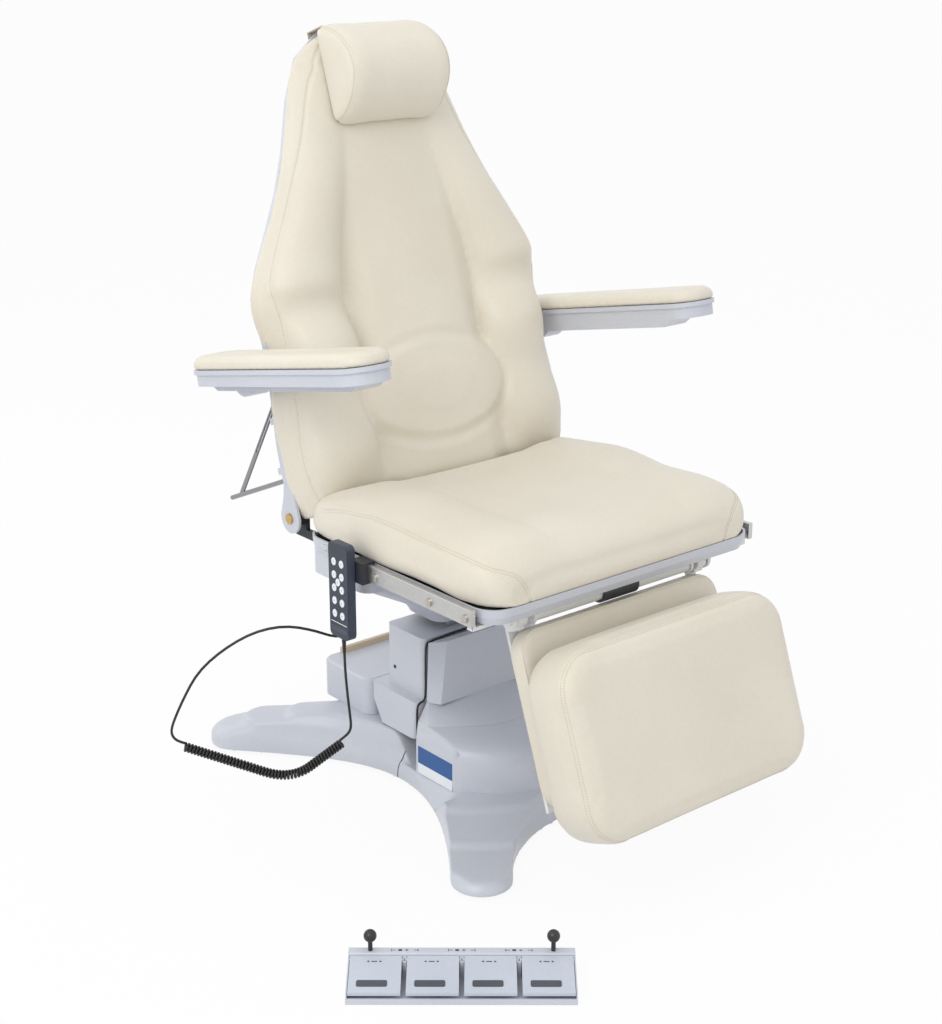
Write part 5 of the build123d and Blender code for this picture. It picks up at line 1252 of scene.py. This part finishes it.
    def _key_marks(self) -> None:
        """Adds a small arrow head on each key, pointing up and down by turns."""
        facing = Matrix.Rotation(-math.pi / 2, 4, "Y")
        for number in range(1, 12):
            low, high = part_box(f"button_{number}")
            middle = (low + high) / 2
            mesh = bmesh.new()
            bmesh.ops.create_circle(mesh, cap_ends=True, segments=3, radius=2.9 * MM)
            lifted = bmesh.ops.extrude_face_region(mesh, geom=mesh.faces[:])
            raised = [v for v in lifted["geom"] if isinstance(v, bmesh.types.BMVert)]
            bmesh.ops.translate(mesh, vec=(0, 0, 0.12 * MM), verts=raised)
            bmesh.ops.recalc_face_normals(mesh, faces=mesh.faces)
            flip = Matrix.Rotation(math.pi / 2 if number % 2 else -math.pi / 2, 4, "Z")
            place = Matrix.Translation((low.x - 0.02 * MM, middle.y, middle.z)) @ facing @ flip
            bmesh.ops.transform(mesh, matrix=place, verts=mesh.verts)
            self.shop.piece(mesh, f"key_mark_{number}", f"key_{number}", KEY_MARK, smooth=False)


# ---------------------------------------------------------------- base trim


@dataclass
class BaseForm:
    """The soft form of the base cover and of the lower tower, which narrows in smooth bands.

    Its profile holds distances from the hub and heights, and its tower holds each level's height,
    half width, front of the sides and middle of the front, all in millimetres.
    """

    shop: Workshop
    voxel: float = 5 * MM
    inner_slope: float = -0.15
    hub_y: float = 100 * MM
    panel_x: float = 158 * MM
    legs_from: float = 95 * MM
    legs_to: float = 150 * MM
    flank_top: float = 36.5
    flank_fall: float = 0.9
    flank_least: float = 8
    flank_starts: float = -62
    flank_blend: float = 30
    profile: tuple[tuple[float, float], ...] = (
        (0, 46), (190, 46), (260, 44.2), (270, 45.6), (278, 44.8), (288, 37.6), (297, 36.6),
        (364, 34.2), (374, 35.6), (382, 34.8), (392, 27.6), (401, 26.8), (480, 27), (620, 27),
    )
    foot: tuple[float, float] = (283, -262)
    foot_radius: float = 52
    toe_round: float = 17
    toe_rim: float = 4
    toe_height: float = 27
    tower: tuple[tuple[float, float, float, float], ...] = (
        (34, 157.0, -46, -143), (46.5, 156.6, -46, -141.5), (70, 156.4, -46, -140),
        (98, 156.0, -45, -136), (112, 154.8, -41, -129), (121, 153.4, -30, -116),
        (128, 152.0, -4, -93), (132.5, 151.2, 34, -66), (135.2, 150.8, 60, -48),
        (136.6, 150.2, 66, -43), (136.9, 148.6, 67, -39.5), (136.2, 147.6, 67, -36),
        (137.8, 146.4, 67, -31), (152, 139.0, 67, 8), (165, 132.4, 67, 43),
        (166.8, 131.6, 67, 45.4),
    )
    tower_rear: float = 72
    side_steps: int = 6
    bow_steps: int = 48

    def build(self) -> bmesh.types.BMesh:
        """Builds both pieces.

        Returns:
            A copy of the base cover's mesh, for the trim that lies on it.
        """
        self._tower()
        return self._cover()

    def limit(self, point: Vector) -> float:
        """Returns the height that the cover keeps below at one place.

        Args:
            point: The place on the cover.

        Returns:
            The height in metres: the legs' bands, the round toes and the flanks by the panels.
        """
        away = math.hypot(point.x, point.y - self.hub_y) / MM
        height = self.profile[-1][1]
        for (near, high), (far, low) in zip(self.profile, self.profile[1:]):
            if near <= away < far:
                height = high + (low - high) * (away - near) / (far - near)
        foot_x, foot_y = self.foot
        edge = self.foot_radius - math.hypot(abs(point.x) / MM - foot_x, point.y / MM - foot_y)
        beyond = away - math.hypot(foot_x, foot_y - self.hub_y / MM)
        if beyond > 0 and edge < self.toe_round:
            share = min(1.0, (self.toe_round - edge) / self.toe_round)
            share *= min(1.0, beyond / self.toe_round)
            rim = self.toe_height - self.toe_rim
            height = min(height, self.toe_rim + rim * math.sqrt(1.0 - share * share))
        beside = max(0.0, abs(point.x) - self.panel_x) / MM
        behind = min(1.0, max(0.0, (point.y / MM - self.flank_starts) / self.flank_blend))
        fallen = self.flank_top - self.flank_fall * beside
        if fallen < height:
            height += (max(fallen, self.flank_least) - height) * behind
        return height * MM

    def _cover(self) -> bmesh.types.BMesh:
        """Remeshes the base cover's outer skin and lowers its front legs in bands.

        Returns:
            A copy of the finished mesh.
        """
        start = bpy.data.meshes.new("base_skin")
        mesh = self.shop.node_mesh("base_cover")
        hollow = [face for face in mesh.faces if face.normal.z < self.inner_slope]
        bmesh.ops.delete(mesh, geom=hollow, context="FACES")
        rims = [edge for edge in mesh.edges if edge.is_boundary]
        bmesh.ops.holes_fill(mesh, edges=rims, sides=0)
        bmesh.ops.triangulate(mesh, faces=[face for face in mesh.faces if len(face.verts) > 4])
        mesh.to_mesh(start)
        mesh.free()
        thing = bpy.data.objects.new("base_skin", start)
        bpy.context.scene.collection.objects.link(thing)
        remesh = thing.modifiers.new("even_skin", "REMESH")
        remesh.mode = "VOXEL"
        remesh.voxel_size = self.voxel
        skin = bmesh.new()
        skin.from_mesh(settled(thing))
        bpy.data.objects.remove(thing)
        self._smooth(skin, 3)
        skin.normal_update()
        inner = [face for face in skin.faces if face.normal.z < self.inner_slope]
        bmesh.ops.delete(skin, geom=inner, context="FACES")
        for vertex in skin.verts:
            share = eased(-vertex.co.y, -self.legs_to, -self.legs_from)
            above = vertex.co.z - self.limit(vertex.co)
            if above > 0:
                vertex.co.z -= above * share
        self._smooth(skin, 2)
        skin.normal_update()
        kept = skin.copy()
        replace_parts(self.shop.piece(skin, "base_form", "base", COVER), "base_cover")
        return kept

    @staticmethod
    def _smooth(mesh: bmesh.types.BMesh, rounds: int) -> None:
        """Smooths the free parts of a mesh and leaves its open edges where they are."""
        free = [vertex for vertex in mesh.verts if not vertex.is_boundary]
        for _ in range(rounds):
            bmesh.ops.smooth_vert(
                mesh, verts=free, factor=0.5, use_axis_x=True, use_axis_y=True, use_axis_z=True
            )

    def _tower(self) -> None:
        """Lofts the lower tower from its foot to its collar."""
        mesh = bmesh.new()
        rings = [[mesh.verts.new(p * MM) for p in self._bow(*level)] for level in self.tower]
        for lower, upper in zip(rings, rings[1:]):
            for number in range(len(lower) - 1):
                mesh.faces.new(
                    (lower[number], lower[number + 1], upper[number + 1], upper[number])
                )
        bmesh.ops.recalc_face_normals(mesh, faces=mesh.faces)
        self.shop.piece(mesh, "tower_skirt", "base", COVER)

    def _bow(self, height: float, half: float, side_front: float, front: float) -> list[Vector]:
        """Returns one outline of the tower: two straight sides and a bowed front.

        Args:
            height: Its height.
            half: Half of its width.
            side_front: Where its sides end.
            front: The middle of its front.

        Returns:
            Its points in millimetres, from one rear corner to the other.
        """
        rise = side_front - front
        radius = (half * half + rise * rise) / (2 * rise)
        sweep = math.asin(min(1.0, half / radius)) if rise < half else math.pi / 2
        middle = front + radius
        depth = side_front - self.tower_rear
        straight = [
            Vector((-half, self.tower_rear + depth * number / self.side_steps, height))
            for number in range(self.side_steps)
        ]
        bow = []
        for number in range(self.bow_steps + 1):
            turn = -sweep + 2 * sweep * number / self.bow_steps
            bow.append(Vector((radius * math.sin(turn), middle - radius * math.cos(turn), height)))
        mirrored = [Vector((-p.x, p.y, p.z)) for p in reversed(straight)]
        return [*straight, *bow, *mirrored]


@dataclass
class BaseTrim:
    """Blank plates, the rubber line, the joint in the base cover and small screws."""

    shop: Workshop
    cover: bmesh.types.BMesh
    panel_x: float = 158 * MM
    plate_front: float = -33 * MM
    plate_rear: float = 64 * MM
    plate_low: float = 37.5 * MM
    plate_high: float = 91 * MM
    blue_share: float = 0.62
    seal_radius: float = 2.0 * MM
    seal: tuple[tuple[float, float, float], ...] = (
        (150, 76.5, 104), (150.8, 75.5, 132), (150.5, 75.5, 158), (146, 75.5, 166.5),
        (134, 75.5, 168.5), (130.5, 75.5, 178), (130.2, 75.5, 230), (129.8, 75.5, 272),
        (124, 75.5, 283.5),
    )
    joint_y: float = 118 * MM
    joint_inner: float = 100 * MM
    joint_heights: tuple[float, float] = (2 * MM, 88.5 * MM)
    joint_pitch: float = 4 * MM
    joint_radius: float = 0.9 * MM
    side_screw: tuple[float, float, float] = (130 * MM, 166 * MM, 204 * MM)
    clip: tuple[float, float, float] = (304 * MM, 128 * MM, 483.5 * MM)
    clip_stand: float = 1.2 * MM

    def build(self) -> None:
        """Builds every trim piece of the base."""
        self._plates()
        self._rubber_line()
        self._cover_joint()
        self._screws()

    def _plates(self) -> None:
        """Lays a blank plate, blue over white, on each side panel."""
        length = self.plate_rear - self.plate_front
        height = self.plate_high - self.plate_low
        split = self.plate_low + height * (1 - self.blue_share)
        middle_y = (self.plate_front + self.plate_rear) / 2
        for side, hand in ((-1, "right"), (1, "left")):
            facing = Matrix.Rotation(side * math.pi / 2, 4, "Y")
            for colour, low, high, finish in (
                ("white", self.plate_low, split, PLATE_WHITE),
                ("blue", split, self.plate_high, PLATE_BLUE),
            ):
                place = Matrix.Translation((side * self.panel_x, middle_y, (low + high) / 2))
                mesh = rounded_plate(high - low, length, 0.5 * MM, 1.2 * MM, place @ facing)
                self.shop.piece(mesh, f"{colour}_plate_{hand}", "base", finish, smooth=False)

    def _rubber_line(self) -> None:
        """Lays the rubber seal along the front edge of the lift side cover."""
        points = [Vector((-x, y, z)) * MM for x, y, z in self.seal]
        points += [Vector((x, y, z)) * MM for x, y, z in reversed(self.seal)]
        mesh = tube_along(points, self.seal_radius, "cover_seal")
        self.shop.piece(mesh, "cover_seal", "mid_stage", RUBBER)

    def _cover_joint(self) -> None:
        """Adds the fine joint across the base cover's sides, behind the tower."""
        lines = cut_lines(self.cover, Vector((0, self.joint_y, 0)), Vector((0, 1, 0)))
        low, high = self.joint_heights
        joint = bmesh.new()
        for side in (-1, 1):
            tops: dict[int, Vector] = {}
            for point in (p for line in lines for p in line):
                if side * point.x <= self.joint_inner or not low < point.z < high:
                    continue
                level = round(point.z / self.joint_pitch)
                if level not in tops or abs(point.x) > abs(tops[level].x):
                    tops[level] = point
            path = [tops[level] for level in sorted(tops)]
            if len(path) < 3:
                continue
            join(joint, tube_along(path, self.joint_radius, "cover_joint"))
        self.shop.piece(joint, "cover_joint", "base", INK)

    def _screws(self) -> None:
        """Adds the sunk screws on the lift side cover and the clips on the tray's sides."""
        sunk = ((0, 0.5), (1.0, 0.5), (1.2, 1.0), (3.2, 0.9), (3.6, 0.3), (3.6, 0))
        raised = ((0, 0.6), (1.3, 0.6), (1.6, 1.5), (3.6, 1.3), (4.2, 0.5), (4.2, 0))
        clip_x, clip_y, clip_z = self.clip
        on_clip = (clip_x + self.clip_stand, clip_y, clip_z)
        for side, hand in ((-1, "right"), (1, "left")):
            self._screw(f"side_screw_{hand}", "mid_stage", INK, sunk, self.side_screw, side)
            facing = Matrix.Rotation(side * math.pi / 2, 4, "Y")
            place = Matrix.Translation((side * clip_x, clip_y, clip_z)) @ facing
            clip = rounded_plate(16 * MM, 15 * MM, self.clip_stand, 2 * MM, place)
            self.shop.piece(clip, f"tray_clip_{hand}", "seat", COVER, smooth=False)
            self._screw(f"tray_screw_{hand}", "seat", BRIGHT, raised, on_clip, side)

    def _screw(
        self,
        name: str,
        body: str,
        finish: Finish,
        profile: Sequence[tuple[float, float]],
        place: tuple[float, float, float],
        side: int,
    ) -> None:
        """Adds one screw head that faces sideways.

        Args:
            name: Name of the piece.
            body: The body that it rides on.
            finish: Its finish.
            profile: Radius and height of its outline's points, in millimetres.
            place: Its middle on the left side.
            side: Minus one for the right side, one for the left.
        """
        x, y, z = place
        mesh = bmesh.new()
        points = [(radius * MM, height * MM) for radius, height in profile]
        turned(mesh, points, aimed(Vector((side * x, y, z)), Vector((side, 0, 0))))
        self.shop.piece(mesh, name, body, finish)


# ---------------------------------------------------------------- foot control


@dataclass
class FootControl:
    """Windows and marks of the foot control."""

    shop: Workshop
    origin: Vector = field(default_factory=lambda: Vector((-0.524, -0.501, 0)))
    turn: float = math.radians(-40)
    pedal_width: float = 78 * MM
    gap: float = 8 * MM
    front: float = 5 * MM
    rear: float = 79 * MM
    low: float = 17 * MM
    high: float = 33 * MM
    strip_top: float = 36 * MM
    strip_middle: float = 89 * MM

    def on_pedal(self, number: int, across: float, share: float) -> Matrix:
        """Returns the place on top of a pedal, with Z out of it and X along the row."""
        slope = math.atan2(self.high - self.low, self.rear - self.front)
        along = (number - 2.5) * (self.pedal_width + self.gap) + across
        depth = self.front + (self.rear - self.front) * share
        height = self.low + (self.high - self.low) * share
        local = Matrix.Translation((along, depth, height)) @ Matrix.Rotation(slope, 4, "X")
        return self._row() @ local

    def _row(self) -> Matrix:
        """Returns the place of the row of pedals."""
        return Matrix.Translation(self.origin) @ Matrix.Rotation(self.turn, 4, "Z")

    def build(self) -> None:
        """Builds the windows, the arrows and the marks on the strip."""
        for number in range(1, 5):
            body = f"treadle_{number}"
            window = rounded_plate(
                46 * MM, 13 * MM, 0.7 * MM, 3 * MM, self.on_pedal(number, -4 * MM, 0.25)
            )
            self.shop.piece(window, f"window_{number}", body, WINDOW, smooth=False)
            marks = rounded_plate(
                9 * MM, 1.6 * MM, 0.25 * MM, 0.7 * MM, self.on_pedal(number, -2 * MM, 0.84)
            )
            for side in (-1, 1):
                tip = self.on_pedal(number, -2 * MM + side * 9 * MM, 0.84)
                tip = tip @ Matrix.Rotation(math.pi if side < 0 else 0.0, 4, "Z")
                bmesh.ops.create_cone(
                    marks, cap_ends=True, segments=3, radius1=2.4 * MM, radius2=2.3 * MM,
                    depth=0.5 * MM, matrix=tip @ Matrix.Rotation(-math.pi / 2, 4, "Z"),
                )
            self.shop.piece(marks, f"arrow_marks_{number}", body, INK, smooth=False)
        self._strip_marks()

    def _strip_marks(self) -> None:
        """Adds three groups of plain marks on the strip behind the pedals."""
        marks = bmesh.new()
        for group in (-1, 0, 1):
            middle = group * (self.pedal_width + self.gap)
            for across, width, height in (
                (-20, 1.0, 6.0), (-17, 7.0, 1.0), (-7, 6.0, 4.5), (3, 6.0, 1.2), (3, 1.2, 5.0),
                (17, 7.0, 1.0), (20, 1.0, 6.0),
            ):
                spot = Matrix.Translation((middle + across * MM, self.strip_middle, self.strip_top))
                part = rounded_plate(
                    width * MM, height * MM, 0.25 * MM, min(width, height) * 0.3 * MM,
                    self._row() @ spot,
                )
                join(marks, part)
        self.shop.piece(marks, "strip_marks", "base", INK, smooth=False)


# ---------------------------------------------------------------- room


@dataclass
class Studio:
    """Camera, floor, lamps and the pale surroundings."""

    eye: Vector = field(default_factory=lambda: Vector((-1.963, -2.245, 1.539)))
    azimuth: float = math.radians(-39.88)
    tilt: float = math.radians(71.1)
    lens: float = 63.18
    long_side: float = 36.0

    def camera(self) -> None:
        """Makes the camera at the photograph's angle."""
        data = bpy.data.cameras.new("camera")
        data.lens = self.lens
        data.sensor_width = self.long_side
        camera = bpy.data.objects.new("camera", data)
        camera.location = self.eye
        camera.rotation_euler = (self.tilt, 0.0, self.azimuth)
        bpy.context.scene.collection.objects.link(camera)
        bpy.context.scene.camera = camera

    def surroundings(self) -> None:
        """Makes the floor, the world and the lamps."""
        scene = bpy.context.scene
        scene.view_settings.view_transform = "Standard"
        mesh = bmesh.new()
        bmesh.ops.create_grid(mesh, x_segments=2, y_segments=2, size=80.0)
        data = bpy.data.meshes.new("floor")
        mesh.to_mesh(data)
        mesh.free()
        floor = bpy.data.objects.new("floor", data)
        scene.collection.objects.link(floor)
        floor.data.materials.append(self._floor_material())
        self._world()
        self._lamp("key", (-3.0, -1.0, 2.7), 2.2, 47.0)
        self._lamp("fill", (1.6, -3.2, 1.4), 2.6, 6.0)
        self._lamp("top", (0.3, 0.5, 3.4), 2.4, 11.0)
        self._lamp("rear", (-0.8, 3.0, 2.2), 2.0, 10.0)

    def _floor_material(self) -> bpy.types.Material:
        """Returns a pale floor that keeps a light shadow."""
        material = bpy.data.materials.new("pale_floor")
        material.use_nodes = True
        tree = material.node_tree
        tree.nodes.remove(tree.nodes["Principled BSDF"])
        matt = tree.nodes.new("ShaderNodeBsdfDiffuse")
        matt.inputs["Color"].default_value = (0.86, 0.86, 0.87, 1.0)
        glow = tree.nodes.new("ShaderNodeEmission")
        glow.inputs["Color"].default_value = (1.0, 1.0, 1.0, 1.0)
        blend = tree.nodes.new("ShaderNodeMixShader")
        seen = self._seen(tree)
        share = tree.nodes.new("ShaderNodeMath")
        share.operation = "MULTIPLY"
        share.inputs[1].default_value = 0.93
        tree.links.new(seen, share.inputs[0])
        tree.links.new(share.outputs[0], blend.inputs[0])
        tree.links.new(matt.outputs[0], blend.inputs[1])
        tree.links.new(glow.outputs[0], blend.inputs[2])
        tree.links.new(blend.outputs[0], tree.nodes["Material Output"].inputs["Surface"])
        return material

    @staticmethod
    def _seen(tree: bpy.types.NodeTree) -> bpy.types.NodeSocket:
        """Returns 1 for rays from the camera, from gloss and through glass."""
        path = tree.nodes.new("ShaderNodeLightPath")
        total = path.outputs["Is Camera Ray"]
        for other in ("Is Glossy Ray", "Is Transmission Ray"):
            most = tree.nodes.new("ShaderNodeMath")
            most.operation = "MAXIMUM"
            tree.links.new(total, most.inputs[0])
            tree.links.new(path.outputs[other], most.inputs[1])
            total = most.outputs[0]
        return total

    def _world(self) -> None:
        """Makes white surroundings that light the chair less than they show."""
        world = bpy.data.worlds.new("surroundings")
        bpy.context.scene.world = world
        world.use_nodes = True
        tree = world.node_tree
        light = tree.nodes["Background"]
        light.inputs["Color"].default_value = (0.98, 0.99, 1.0, 1.0)
        light.inputs["Strength"].default_value = 0.77
        white = tree.nodes.new("ShaderNodeBackground")
        white.inputs["Color"].default_value = (1.0, 1.0, 1.0, 1.0)
        white.inputs["Strength"].default_value = 1.0
        blend = tree.nodes.new("ShaderNodeMixShader")
        tree.links.new(self._seen(tree), blend.inputs[0])
        tree.links.new(light.outputs[0], blend.inputs[1])
        tree.links.new(white.outputs[0], blend.inputs[2])
        tree.links.new(blend.outputs[0], tree.nodes["World Output"].inputs["Surface"])

    @staticmethod
    def _lamp(name: str, place: tuple[float, float, float], size: float, power: float) -> None:
        """Adds one soft lamp that faces the chair.

        Args:
            name: Name of the lamp.
            place: Its place.
            size: Side of its square face.
            power: Its power in watts.
        """
        data = bpy.data.lights.new(name, "AREA")
        data.shape = "SQUARE"
        data.size = size
        data.energy = power
        lamp = bpy.data.objects.new(name, data)
        lamp.location = place
        aim = Vector((0, 0.1, 0.6)) - Vector(place)
        lamp.rotation_euler = aim.to_track_quat("-Z", "Y").to_euler()
        bpy.context.scene.collection.objects.link(lamp)


def main() -> None:
    """Builds the chair's dress in order."""
    logging.basicConfig(level=logging.INFO, format="%(name)s: %(message)s")
    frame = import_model()
    shop = Workshop(frame)
    studio = Studio()
    studio.camera()
    Handset(shop).build()
    shop.finish_nodes()
    makers: list[Callable[[], None]] = [
        SeatCushion(shop).build, Backrest(shop).build, LegRest(shop).build, ArmPads(shop).build,
        BaseTrim(shop, BaseForm(shop).build()).build, FootControl(shop).build,
        studio.surroundings,
    ]
    for make in makers:
        make()


if __name__ == "__main__":
    main()
